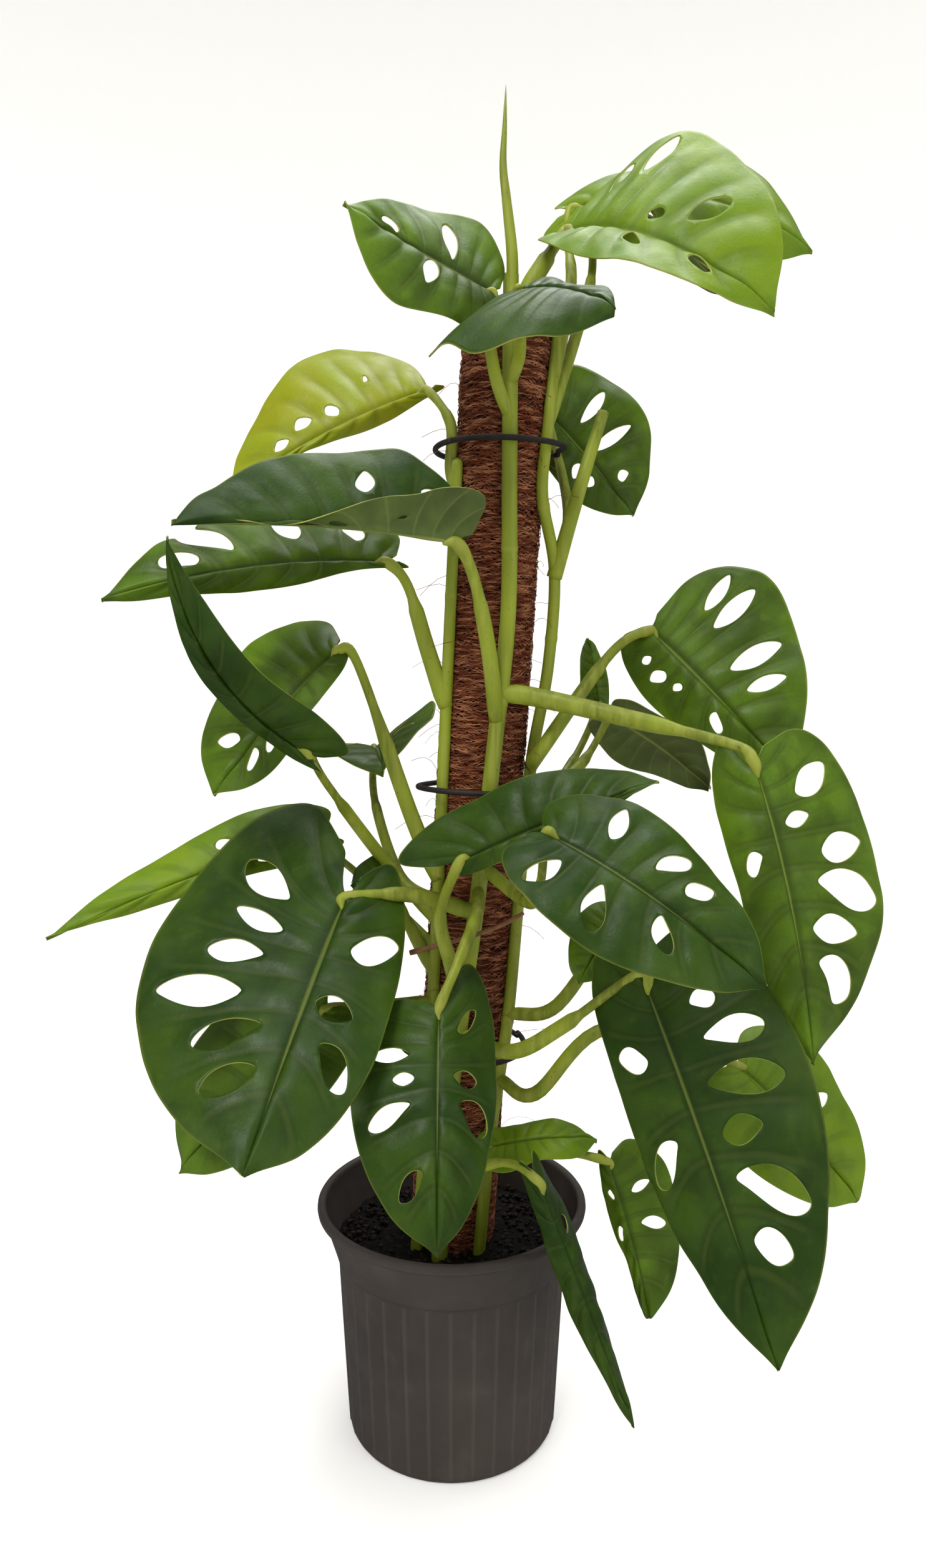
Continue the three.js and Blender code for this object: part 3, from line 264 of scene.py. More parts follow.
class PlantSizes(bpy.types.PropertyGroup):
    """Sizes that change how finely the plant is dressed."""

    blade_thickness: FloatProperty(
        name="Blade thickness", description="Thickness of a leaf blade", default=0.0009,
        min=0.0002, unit="LENGTH")
    quilting: FloatProperty(
        name="Quilting", description="How far the blade swells between its side veins",
        default=0.0034, min=0.0, unit="LENGTH")
    midrib_groove: FloatProperty(
        name="Midrib groove", description="Depth of the groove along the midrib",
        default=0.0024, min=0.0, unit="LENGTH")
    stalk_radius: FloatProperty(
        name="Stalk radius", description="Radius of a leaf stalk at its middle", default=0.0040,
        min=0.001, unit="LENGTH")
    fibre_count: IntProperty(
        name="Fibres", description="Loose fibres on each half of the coir sleeve", default=4300,
        min=100)
    fibre_radius: FloatProperty(
        name="Fibre radius", description="Radius of one coir fibre", default=0.00034, min=0.0001,
        unit="LENGTH")
    hair_count: IntProperty(
        name="Stray hairs", description="Long fibres that stand off the pole", default=90, min=0)
    clod_count: IntProperty(
        name="Clods", description="Coarse pieces lying on the soil", default=900, min=0)
    pot_facets: IntProperty(
        name="Pot facets", description="Flat faces round the pot", default=32, min=8)
    seam_height: FloatProperty(
        name="Seam height", description="How far a seam between two facets stands out",
        default=0.0007, min=0.0, unit="LENGTH")


def colour(label, hexa, text):
    """A colour setting, given as a six-figure code."""
    return FloatVectorProperty(
        name=label, description=text, default=linear(hexa), size=3, min=0.0, max=1.0,
        subtype="COLOR")


def linear(hexa):
    """The linear values of a six-figure colour code."""
    shares = [int(hexa[i:i + 2], 16) / 255 for i in (0, 2, 4)]
    return tuple(c / 12.92 if c <= 0.04045 else ((c + 0.055) / 1.055) ** 2.4 for c in shares)


class PlantColours(bpy.types.PropertyGroup):
    """Colours of the plant and its pot."""

    # Deep green is partly the darker green of old leaves and partly painted shade for leaves in the
    # shade.
    deep: colour("Deep green", "233e05", "Old leaves in the shade")
    mid: colour("Mid green", "384f07", "Most leaves")
    # Bright green is partly the paler green of young leaves and partly painted light for leaves in
    # the light.
    bright: colour("Bright green", "5c7c0f", "Young leaves in the light")
    # Yellow green is partly yellowing and partly painted light shining through the blade.
    yellow: colour("Yellow green", "8a8e08", "Leaves that turn yellow")
    underside: colour("Underside", "4e5a24", "The dull lower face of a leaf")
    margin: colour("Margin", "8c9240", "The pale edge of a leaf and of its holes")
    stem: colour("Stem", "737f1c", "Climbing stems and stalks")
    sheath: colour("Ring", "8c9038", "Rings and sheath edges on the stems")
    coir: colour("Coir", "7c3a1c", "Coir fibre")
    coir_dark: colour("Coir shadow", "1c0c07", "The depth of the coir")
    root: colour("Root", "6b4a30", "The aerial root")
    # Near black: damp soil, darkened further for the shade down in the pot: painted shade.
    soil: colour("Soil", "0b0806", "Damp soil")
    pot: colour("Pot", "3d3631", "Pot plastic")
    tie: colour("Tie", "221e1b", "Coated wire ties")
    floor: colour("Floor", "f2f1ee", "Studio floor")


# ---- Shared helpers ----
def above_soil(point):
    """A point in millimetres above the soil, in metres above the floor."""
    return Vector((point[0], point[1], point[2] + SOIL_LEVEL)) * MM


def smooth_path(points, per_span):
    """A smooth curve through the points."""
    ends = [2 * points[0] - points[1], *points, 2 * points[-1] - points[-2]]
    path = []
    for i in range(1, len(ends) - 2):
        p0, p1, p2, p3 = ends[i - 1:i + 3]
        for k in range(per_span):
            s = k / per_span
            path.append(0.5 * ((2 * p1) + (p2 - p0) * s + (2 * p0 - 5 * p1 + 4 * p2 - p3) * s * s
                               + (3 * p1 - p0 - 3 * p2 + p3) * s ** 3))
    path.append(points[-1].copy())
    return path


def path_shares(path):
    """The share of the path's length at each of its points."""
    steps = [0.0]
    for a, b in zip(path, path[1:]):
        steps.append(steps[-1] + (b - a).length)
    return [s / steps[-1] for s in steps], steps[-1]


def sweep(bm, path, radii, sides, flat=None):
    """Adds a closed tube along the path. flat is how much wider than deep it is at each point."""
    tangents = []
    for i in range(len(path)):
        ahead = path[min(i + 1, len(path) - 1)] - path[max(i - 1, 0)]
        tangents.append(ahead.normalized())
    turn = tangents[0].to_track_quat("Z", "X")
    places = []
    for i, tangent in enumerate(tangents):
        if i:
            turn = tangents[i - 1].rotation_difference(tangent) @ turn
        wide = flat[i] if flat else 1.0
        scale = Matrix.Diagonal((radii[i] * wide, radii[i], radii[i], 1.0))
        places.append(Matrix.Translation(path[i]) @ turn.to_matrix().to_4x4() @ scale)
    ring = bmesh.ops.create_circle(bm, segments=sides, radius=1.0, matrix=places[0])["verts"]
    edges = list(dict.fromkeys(e for v in ring for e in v.link_edges))
    first = list(edges)
    for before, after in zip(places, places[1:]):
        made = bmesh.ops.extrude_edge_only(bm, edges=edges)["geom"]
        edges = [g for g in made if isinstance(g, bmesh.types.BMEdge)]
        verts = [g for g in made if isinstance(g, bmesh.types.BMVert)]
        bmesh.ops.transform(bm, matrix=after @ before.inverted(), verts=verts)
    bmesh.ops.holes_fill(bm, edges=first + edges, sides=0)


def tube(path, radii, sides, flat=None, ring=None):
    """A closed tube along the path. ring gives the share of ring colour at a point of it."""
    bm = bmesh.new()
    layer = bm.verts.layers.float.new("ring") if ring else None
    sweep(bm, path, radii, sides, flat)
    closed(bm)
    if ring:
        for v in bm.verts:
            v[layer] = ring(v.co)
    return bm


def spin_outline(bm, outline, steps):
    """Turns an outline of (radius, height) in metres round the upright axis."""
    profile = [bm.verts.new((radius, 0, height)) for radius, height in outline]
    edges = [bm.edges.new(pair) for pair in zip(profile, profile[1:])]
    bmesh.ops.spin(bm, geom=profile + edges, axis=(0, 0, 1), cent=(0, 0, 0), steps=steps,
                   angle=math.tau, use_merge=True)


def make_piece(bm, name, materials, replaces=()):
    """Turns a bmesh into a finished piece that rides on the plant."""
    mesh = bpy.data.meshes.new(name)
    bm.to_mesh(mesh)
    bm.free()
    for material in materials:
        mesh.materials.append(material)
    mesh.polygons.foreach_set("use_smooth", [True] * len(mesh.polygons))
    return place_piece(bpy.data.objects.new(name, mesh), replaces)


def place_piece(piece, replaces=()):
    """Links a piece, lets it ride on the root body and hides the CAD parts it replaces."""
    bpy.context.scene.collection.objects.link(piece)
    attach(piece, "root")
    if replaces:
        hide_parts(*replaces)
    return piece


def closed(bm):
    """Merges doubles and turns every face outwards."""
    bmesh.ops.remove_doubles(bm, verts=bm.verts[:], dist=1e-6)
    bmesh.ops.recalc_face_normals(bm, faces=bm.faces[:])


def sizes():
    return bpy.context.scene.plant_sizes


def tone_of(key):
    """One of the colour settings, as a plain tuple."""
    return tuple(getattr(bpy.context.scene.plant_colours, key))


# ---- Materials ----
class Nodes:
    """A short way to write a material's nodes."""

    def __init__(self, name):
        self.material = bpy.data.materials.new(name)
        self.material.use_nodes = True
        self.tree = self.material.node_tree
        self.shader = self.tree.nodes["Principled BSDF"]

    def add(self, kind, sockets=(), **settings):
        node = self.tree.nodes.new("ShaderNode" + kind)
        for key, value in settings.items():
            setattr(node, key, value)
        for key, value in dict(sockets).items():
            self.feed(node.inputs[key], value)
        return node

    def feed(self, socket, value):
        if isinstance(value, bpy.types.NodeSocket):
            self.tree.links.new(value, socket)
        elif hasattr(value, "__len__") and len(value) == 3 and socket.type == "RGBA":
            socket.default_value = (*value, 1.0)
        else:
            socket.default_value = value

    def place(self, stretch=(1, 1, 1)):
        """The piece's own coordinates in metres, stretched along each axis."""
        source = self.add("TexCoord")
        mapping = self.add("Mapping", {"Vector": source.outputs["Object"], "Scale": stretch})
        return mapping.outputs["Vector"]

    def noise(self, scale, detail=3.0, stretch=(1, 1, 1)):
        node = self.add("TexNoise", {"Vector": self.place(stretch), "Scale": scale,
                                     "Detail": detail, "Roughness": 0.55})
        return node.outputs["Fac"]

    def fade(self, value, low, high, to_low=0.0, to_high=1.0):
        node = self.add("MapRange", {"Value": value, "From Min": low, "From Max": high,
                                     "To Min": to_low, "To Max": to_high},
                        interpolation_type="SMOOTHSTEP")
        return node.outputs["Result"]

    def mix(self, share, a, b):
        node = self.add("Mix", data_type="RGBA")
        self.feed(node.inputs[0], share)
        self.feed(node.inputs[6], a)
        self.feed(node.inputs[7], b)
        return node.outputs[2]

    def math(self, operation, a, b=0.0):
        node = self.add("Math", operation=operation)
        self.feed(node.inputs[0], a)
        self.feed(node.inputs[1], b)
        return node.outputs[0]

    def attribute(self, name):
        return self.add("Attribute", attribute_name=name).outputs["Fac"]

    def bump(self, height, strength, distance):
        node = self.add("Bump", {"Height": height, "Strength": strength, "Distance": distance})
        self.feed(self.shader.inputs["Normal"], node.outputs["Normal"])

    def surface(self, base, roughness, specular):
        self.feed(self.shader.inputs["Base Color"], base)
        self.feed(self.shader.inputs["Roughness"], roughness)
        self.feed(self.shader.inputs["Specular IOR Level"], specular)


def shade(tone, factor):
    """A colour made lighter or darker."""
    return tuple(min(1.0, c * factor) for c in tone)


def blend_of(a, b, share):
    return tuple(x + (y - x) * share for x, y in zip(a, b))


def leaf_top(name, tone, far_tone):
    """The glossy upper face: mottled green with a pale midrib and sunken side veins, and painted
    shade in the vein grooves and beside the midrib.
    """
    n = Nodes(name)
    margin = tone_of("margin")
    base = n.mix(n.fade(n.noise(14, 2), 0.3, 0.75), shade(tone, 0.8), blend_of(tone, far_tone, 0.7))
    base = n.mix(n.fade(n.noise(70, 3), 0.5, 0.8, 0, 0.25), base, blend_of(far_tone, margin, 0.15))
    base = n.mix(n.fade(n.noise(26, 4), 0.5, 0.72, 0, 0.5), base, shade(tone, 0.45))
    cells = n.add("TexVoronoi", {"Vector": n.place(), "Scale": 330.0}, feature="DISTANCE_TO_EDGE")
    base = n.mix(n.fade(cells.outputs["Distance"], 0.0, 0.12, 0.16, 0), base, shade(tone, 0.5))
    across = n.math("ABSOLUTE", n.attribute("across"))
    vein = n.math("PINGPONG", n.attribute("vein"), 0.5)
    side_vein = n.math("MULTIPLY", n.fade(vein, 0.015, 0.10, 1, 0), n.fade(across, 0.7, 0.98, 1, 0))
    # Darker about each side vein, fading midway between two veins and towards the margin: painted
    # shade in the sunken vein grooves.
    painted_vein_shade = n.math("MULTIPLY", n.fade(vein, 0.02, 0.2, 0.6, 0), n.fade(across, 0.6, 0.95, 1, 0.2))
    base = n.mix(painted_vein_shade, base, shade(tone, 0.55))
    base = n.mix(n.math("MULTIPLY", side_vein, 0.14), base, blend_of(far_tone, margin, 0.3))
    # Darker band either side of the pale midrib line, over the midrib groove: painted shade.
    base = n.mix(n.fade(across, 0.03, 0.09, 0.55, 0), base, shade(tone, 0.5))
    base = n.mix(n.fade(across, 0.008, 0.024, 0.5, 0), base, blend_of(far_tone, margin, 0.45))
    base = n.mix(n.fade(across, 0.975, 1.0, 0, 0.5), base, blend_of(far_tone, margin, 0.5))
    n.surface(base, n.fade(n.noise(45, 3), 0.3, 0.7, 0.36, 0.54), 0.2)
    n.bump(n.math("ADD", n.noise(420, 3), n.noise(60, 4)), 0.2, 0.0010)
    return n.material


def leaf_back(name, tone):
    """The duller lower face with its raised pale veins."""
    n = Nodes(name)
    under = blend_of(tone_of("underside"), tone, 0.35)
    margin = tone_of("margin")
    base = n.mix(n.fade(n.noise(30, 3), 0.3, 0.7), shade(under, 0.8), shade(under, 1.15))
    across = n.math("ABSOLUTE", n.attribute("across"))
    vein = n.math("PINGPONG", n.attribute("vein"), 0.5)
    base = n.mix(n.fade(vein, 0.015, 0.06, 0.22, 0), base, blend_of(under, margin, 0.45))
    base = n.mix(n.fade(across, 0.012, 0.04, 0.6, 0), base, blend_of(under, margin, 0.7))
    n.surface(base, 0.58, 0.3)
    n.bump(n.noise(300, 3), 0.2, 0.001)
    return n.material


def plain_mix(name, low, high, scale, rough, bump=None):
    """Two tones mixed by noise, with a bump of (strength, scale, depth)."""
    n = Nodes(name)
    n.surface(n.mix(n.fade(n.noise(scale, 4), 0.3, 0.7), low, high), rough, 0.3)
    if bump:
        strength, bump_scale, depth = bump
        n.bump(n.noise(bump_scale, 4), strength, depth)
    return n.material


def stem_material():
    """Streaked and specked green, paler in the rings."""
    n = Nodes("stem_green")
    tone, ring = tone_of("stem"), tone_of("sheath")
    base = n.mix(n.fade(n.noise(22, 3, stretch=(1, 1, 0.35)), 0.3, 0.7), shade(tone, 0.62),
                 shade(tone, 1.2))
    streak = n.noise(160, 3, stretch=(1, 1, 0.06))
    base = n.mix(n.fade(streak, 0.42, 0.66, 0, 0.6), base, blend_of(tone, ring, 0.8))
    speck = n.fade(n.noise(520, 2, stretch=(1, 1, 0.5)), 0.68, 0.74, 0, 0.6)
    base = n.mix(speck, base, shade(tone, 0.22))
    base = n.mix(n.fade(n.attribute("ring"), 0.2, 0.9, 0, 0.7), base, ring)
    n.surface(base, n.fade(n.noise(60, 3), 0.3, 0.7, 0.4, 0.56), 0.28)
    n.bump(streak, 0.25, 0.0008)
    return n.material


def pot_material():
    """Dark plastic with a little dust, upright scuffs and paler seams."""
    n = Nodes("pot_plastic")
    tone = tone_of("pot")
    base = n.mix(n.fade(n.noise(9, 3), 0.3, 0.7), shade(tone, 0.86), shade(tone, 1.1))
    dust = n.fade(n.noise(38, 5), 0.52, 0.8, 0, 0.1)
    base = n.mix(dust, base, blend_of(tone, (0.28, 0.24, 0.2), 0.5))
    # Paler along the raised seams between the facets.
    base = n.mix(n.math("MULTIPLY", n.attribute("seam"), 0.3), base, shade(tone, 2.2))
    scuff = n.fade(n.noise(120, 4, stretch=(1, 1, 0.08)), 0.6, 0.8, 0, 0.2)
    base = n.mix(scuff, base, shade(tone, 1.5))
    n.surface(base, n.fade(n.noise(30, 4), 0.3, 0.7, 0.46, 0.62), 0.35)
    n.bump(n.noise(900, 3), 0.12, 0.0006)
    return n.material


def coir_material(name, low, high):
    """Coir whose darker tone is broken by fibres that lie across the pole."""
    n = Nodes(name)
    base = n.mix(n.fade(n.noise(24, 3), 0.3, 0.7), shade(low, 0.75), shade(low, 1.25))
    base = n.mix(n.fade(n.noise(190, 2, stretch=(0.3, 0.3, 2.6)), 0.42, 0.68), base, high)
    n.surface(base, 0.85, 0.25)
    n.bump(n.noise(700, 4), 0.5, 0.001)
    return n.material


# ---- Where the stems and the blades are ----
def round_pole(degrees, height, distance):
    """A point at that height above the soil and that far from the pole's middle."""
    angle = math.radians(degrees)
    return Vector((POLE_LEAN * height + distance * math.cos(angle), distance * math.sin(angle),
                   height))


def vine_points(vine):
    stand = POLE_RADIUS + vine["radius"] + STEM_GAP
    return [above_soil(round_pole(d, h, stand + off)) for d, h, off in vine["route"]]


def vine_point_at(vine, height):
    """The middle of a climbing stem at a height above the soil, in metres."""
    route = vine["route"]
    i = 0
    while i < len(route) - 2 and height > route[i + 1][1]:
        i += 1
    (d0, h0, o0), (d1, h1, o1) = route[i], route[i + 1]
    share = (height - h0) / (h1 - h0)
    distance = POLE_RADIUS + vine["radius"] + STEM_GAP + o0 + (o1 - o0) * share
    return above_soil(round_pole(d0 + (d1 - d0) * share, height, distance))


def vein_value(column, along):
    """A smooth value of one vein column at a share along the midrib."""
    xs, last = VEIN_START, len(VEIN_START) - 1

    def slope(i):
        if i == 0:
            return (column[1] - column[0]) / (xs[1] - xs[0])
        if i == last:
            return (column[last] - column[last - 1]) / (xs[last] - xs[last - 1])
        h0, h1 = xs[i] - xs[i - 1], xs[i + 1] - xs[i]
        d0, d1 = (column[i] - column[i - 1]) / h0, (column[i + 1] - column[i]) / h1
        return (h1 * d0 + h0 * d1) / (h0 + h1)

    i = 0
    while i < last - 1 and along >= xs[i + 1]:
        i += 1
    span = xs[i + 1] - xs[i]
    s = (along - xs[i]) / span
    ease = 3 * s ** 2 - 2 * s ** 3
    level = (1 - ease) * column[i] + ease * column[i + 1]
    return level + span * ((s ** 3 - 2 * s ** 2 + s) * slope(i) + (s ** 3 - s ** 2) * slope(i + 1))


def own_width(widths, along):
    """A blade's own width at a share along its midrib, as a share of the usual one."""
    if along >= STATIONS[-1]:
        return widths[-1]
    i = 0
    while along >= STATIONS[i + 1]:
        i += 1
    share = (along - STATIONS[i]) / (STATIONS[i + 1] - STATIONS[i])
    return widths[i] + (widths[i + 1] - widths[i]) * share


def from_node(stalk, offset):
    """A point measured in millimetres from the place where a stalk leaves its stem."""
    return vine_point_at(VINES[stalk["vine"]], stalk["node"]) + Vector(offset) * MM


class Blade:
    """The curved surface of one leaf, by a share along the midrib and one across, -1 to 1."""

    def __init__(self, leaf, seed):
        self.base = from_node(leaf, leaf["base"])
        tip = from_node(leaf, leaf["tip"])
        self.axis = (tip - self.base).normalized()
        self.length = (tip - self.base).length
        face = Vector(leaf["face"])
        self.face = (face - self.axis * face.dot(self.axis)).normalized()
        self.right = self.axis.cross(self.face)
        self.half = [h * MM for h in leaf["half"]]
        self.fold = [math.radians(f) for f in leaf.get("fold", (0, 0))]
        self.curl = [math.radians(c or 0.1) for c in leaf.get("curl", (15, 15))]
        self.arch = leaf.get("arch", 8) * MM
        self.sway = leaf.get("sway", 0) * MM
        self.twist = math.radians(leaf.get("twist", 0))
        self.taper = leaf.get("taper", 1)
        self.lobe = leaf.get("lobe", (0, 0))
        self.shape = leaf.get("shape", ((1, 1, 1, 1, 1), (1, 1, 1, 1, 1)))
        self.ruffle = leaf.get("ruffle", RUFFLE) * MM
        self.phase = seed * 1.7

    def point(self, along, across):
        side = 1 if across > 0 else 0
        reach = abs(across)
        edge = vein_value(VEIN_END, along) - self.lobe[side] * vein_value(LOBE_REACH, along)
        forward = along + (edge - along) * reach ** VEIN_SWEEP
        share = (1 + (self.taper - 1) * along) * own_width(self.shape[side], along)
        width = vein_value(HALF_WIDTH, along) * self.half[side] * share
        fold, curl = self.fold[side], self.curl[side]
        out = (math.sin(fold + curl * reach) - math.sin(fold)) / curl * width * (1 if side else -1)
        lift = (math.cos(fold + curl * reach) - math.cos(fold)) / curl * width
        turn = self.twist * forward
        bow = 4 * forward * (1 - forward)
        beat = math.sin(RUFFLES * forward + self.phase + (1.5 if side else 0))
        wave = self.ruffle * beat * reach ** 2
        sideways = out * math.cos(turn) - lift * math.sin(turn) + self.sway * bow
        upwards = out * math.sin(turn) + lift * math.cos(turn) + self.arch * bow + wave
        return (self.base + self.axis * (forward * self.length) + self.right * sideways
                + self.face * upwards)

    def normal(self, along, across):
        step = NORMAL_STEP
        a = min(max(along, step), 1 - step)
        b = min(max(across, step - 1), 1 - step)
        lengthways = self.point(a + step, across) - self.point(a - step, across)
        crossways = self.point(a, b + step) - self.point(a, b - step)
        return crossways.cross(lengthways).normalized()


def hole_block(inner, outer):
    """The grid columns that a hole takes up, counted from the midrib."""
    first, last = (min(range(len(ACROSS)), key=lambda k: abs(ACROSS[k] - edge))
                   for edge in (inner, outer))
    first = max(1, first)
    return first, max(last, first + 1)


def blade_layout(leaf):
    """The shares along and across of each grid place (row, column), and the open cells."""
    rows = []
    for start, end in zip(PANELS, PANELS[1:]):
        rows += [start + (end - start) * s for s in ALONG]
    rows.append(PANELS[-1])
    count = len(ACROSS) - 1
    spots = {}
    for r, along in enumerate(rows):
        for c in range(-count, count + 1):
            spots[r, c] = (along, math.copysign(ACROSS[abs(c)], c))
    cut = set()
    for side, key in ((-1, "holes_left"), (1, "holes_right")):
        for hole in leaf.get(key, ()):
            panel, inner, outer, share = (*hole, HOLE_SHARE)[:4]
            first, last = hole_block(inner, outer)
            low, middle, high = (4 * panel + k for k in (1, 2, 3))
            centre = (PANELS[panel] + PANELS[panel + 1]) / 2
            tall = (PANELS[panel + 1] - PANELS[panel]) / 2 * share
            open_edge = outer >= 1
            for c in range(first, last + 1):
                u = 2 * (ACROSS[c] - ACROSS[first]) / (ACROSS[last] - ACROSS[first]) - 1
                lean = math.sin(37 * inner + 11 * outer + 5 * panel)
                for r, v in ((low, -1), (middle, 0), (high, 1)):
                    if v == 0 and c not in (first, last):
                        continue
                    if open_edge:
                        t = inner + (1 - inner) * (u + 1) / 2
                        q = centre + tall * v * math.sqrt(max(0.0, 1 - (1 - (u + 1) / 2) ** 2))
                    else:
                        t = (inner + outer) / 2 + (outer - inner) / 2 * u * (1 - 0.22 * v * v)
                        q = centre + tall * v * (1 - 0.58 * u * u) * (1 + 0.25 * lean * u)
                        q += 0.3 * tall * lean * u
                    if not (v == 0 and open_edge and c == last):
                        spots[r, side * c] = (q, side * t)
            for c in range(first, last):
                cell = c if side > 0 else -c - 1
                cut |= {(low, cell), (middle, cell)}
    return rows, count, spots, cut


def vein_count(along):
    """How many side veins lie before a share of the midrib, with a fraction between two."""
    i = 0
    while i < len(PANELS) - 2 and along > PANELS[i + 1]:
        i += 1
    return i + (along - PANELS[i]) / (PANELS[i + 1] - PANELS[i])


def blade_mesh(leaf, seed):
    """A leaf blade as one sheet with its holes cut, quilted between the veins."""
    blade = Blade(leaf, seed)
    rows, count, spots, cut = blade_layout(leaf)
    bm = bmesh.new()
    across_layer = bm.verts.layers.float.new("across")
    vein_layer = bm.verts.layers.float.new("vein")
    bmesh.ops.create_grid(bm, x_segments=2 * count, y_segments=len(rows) - 1, size=1)
    bm.verts.ensure_lookup_table()
    place = {}
    for v in bm.verts:
        c = round((v.co.x + 1) * count) - count
        r = round((v.co.y + 1) / 2 * (len(rows) - 1))
        place[v] = (r, c)
    gone = [f for f in bm.faces
            if (min(place[v][0] for v in f.verts), min(place[v][1] for v in f.verts)) in cut]
    quilt, groove = sizes().quilting, sizes().midrib_groove
    for v, spot in place.items():
        along, across = spots[spot]
        along = min(max(along, 0.0), 1.0)
        veins = vein_count(along)
        panel = min(int(veins), len(PANELS) - 2)
        tall = (PANELS[panel + 1] - PANELS[panel]) * blade.length
        between = 1 - (2 * (veins - panel) - 1) ** 2
        reach = abs(across)
        swell = (quilt * min(1.0, tall / QUILTED_PANEL) * between
                 * min(1.0, reach / QUILT_FROM_MIDRIB) * (1 - reach ** 4))
        dip = groove * math.exp(-(reach / GROOVE_WIDTH) ** 2) * min(1.0, (1 - along) * 4)
        at = blade.point(along, across)
        rumple = 0.0
        for (height, scale), shift in zip(RUMPLES, ((seed, 0, 0), (0, seed, 0))):
            rumple += height * noise.noise(at * scale + Vector(shift)) * min(1.0, reach * 3)
        v.co = at + blade.normal(along, across) * (swell - dip + rumple)
        v[across_layer] = across
        v[vein_layer] = veins
    bmesh.ops.delete(bm, geom=gone, context="FACES")
    bmesh.ops.recalc_face_normals(bm, faces=bm.faces[:])
    middle = min(bm.faces, key=lambda f: (f.calc_center_median() - blade.point(0.4, 0.3)).length)
    if middle.normal.dot(blade.normal(0.4, 0.3)) < 0:
        bmesh.ops.reverse_faces(bm, faces=bm.faces[:])
    return bm


# ---- Pieces ----
RING_GAPS = {"front": 0.124, "right": 0.11, "left": 0.116}
FIRST_RING = 0.02
STEM_SIDES = 20
STALK_SIDES = 12
WIRE_RADIUS = 0.0024
ROOT_RADIUS = 0.0023
ROOT_STAND_OFF = 13.4
SLEEVE_INSIDE = 0.0172
SLEEVE_OUTSIDE = 0.0345
SLEEVE_RINGS = 230
SLEEVE_STEPS = 84
HAIR_RADIUS = 0.00022
FACET_STEPS = 8
SOIL_STEPS = 170

# Half outlines as (radius, height) in millimetres, from the axis and back to it.
POT_OUTLINE = (
    (0, 0), (60, 0), (76, 0), (76.5, 0), (89.5, 0), (91.6, 1.1), (92.8, 3), (93.2, 5.5),
    (94.6, 30), (96.1, 60), (97.7, 90), (99.2, 120), (100.4, 145), (101, 158), (101.2, 161.5),
    (102.4, 162.6), (103.4, 163.4), (103.9, 165.5), (106.5, 174), (109.6, 184), (112.6, 194),
    (114.6, 200.4), (115.8, 202), (118.2, 202.4), (119.6, 203.8), (120, 206), (119.7, 208.6),
    (118.4, 210.5), (116.2, 211), (113.9, 210.6), (112.7, 209.2), (112.3, 206.5), (112.1, 201),
    (109, 190), (105.5, 178), (101.6, 165), (98.8, 161), (97.5, 140), (90.6, 6), (88, 3.2), (0, 3))
SOIL_SIDE = [(0, 8), (80, 8), (86, 30), (93, 120), (96.5, 155)]

FLOOR_RADIUS = 2.6
FLOOR_BEND = 1.2
WALL_HEIGHT = 4.2
LAMPS = (  # name, place, aim, size, power
    ("key_light", (-0.7, -1.3, 2.6), (0, 0, 0.6), 0.9, 40),
    ("fill_light", (1.9, -1.5, 1.6), (0, 0, 0.6), 1.4, 9),
    ("top_light", (0.4, 0.5, 3.0), (0, 0, 0.7), 1.8, 60))
CAMERA_PLACE = (0.0101, -0.9498, 0.7003)
CAMERA_TURN = (math.radians(90 - 7.05), 0, 0)
LENS = 25.571
SENSOR_HEIGHT = 36.0


class MONSTERA_OT_leaves(bpy.types.Operator):
    """Adds every leaf blade, with its holes, quilting and pale margin"""
    bl_idname = "monstera.leaves"
    bl_label = "Leaves"

    def execute(self, context):
        # The deep, bright and yellow greens hold painted shade and painted light as well as the
        # leaves' own greens.
        tones = {key: tone_of(key) for key in ("deep", "mid", "bright", "yellow")}
        far = {"deep": tones["mid"], "mid": tones["bright"],
               "bright": blend_of(tones["bright"], tones["yellow"], 0.35),
               "yellow": blend_of(tones["bright"], tones["yellow"], 0.3)}
        tops = {key: leaf_top("leaf_top_" + key, tones[key], far[key]) for key in tones}
        backs = {key: leaf_back("leaf_back_" + key, tones[key]) for key in tones}
        rim = plain_mix("leaf_margin", shade(tone_of("margin"), 0.8), tone_of("margin"), 60, 0.5)
        for seed, leaf in enumerate(LEAVES):
            name, tone = leaf["name"], leaf.get("tone", "mid")
            piece = make_piece(blade_mesh(leaf, seed), "blade_" + name,
                               [tops[tone], backs[tone], rim],
                               ["leaf_" + name])
            smooth = piece.modifiers.new("Smooth", "SUBSURF")
            smooth.levels = smooth.render_levels = leaf.get("fine", 2)
            thick = piece.modifiers.new("Thickness", "SOLIDIFY")
            thick.thickness = sizes().blade_thickness
            thick.offset = 0.0
            thick.material_offset = 1
            thick.material_offset_rim = 2
        return {"FINISHED"}


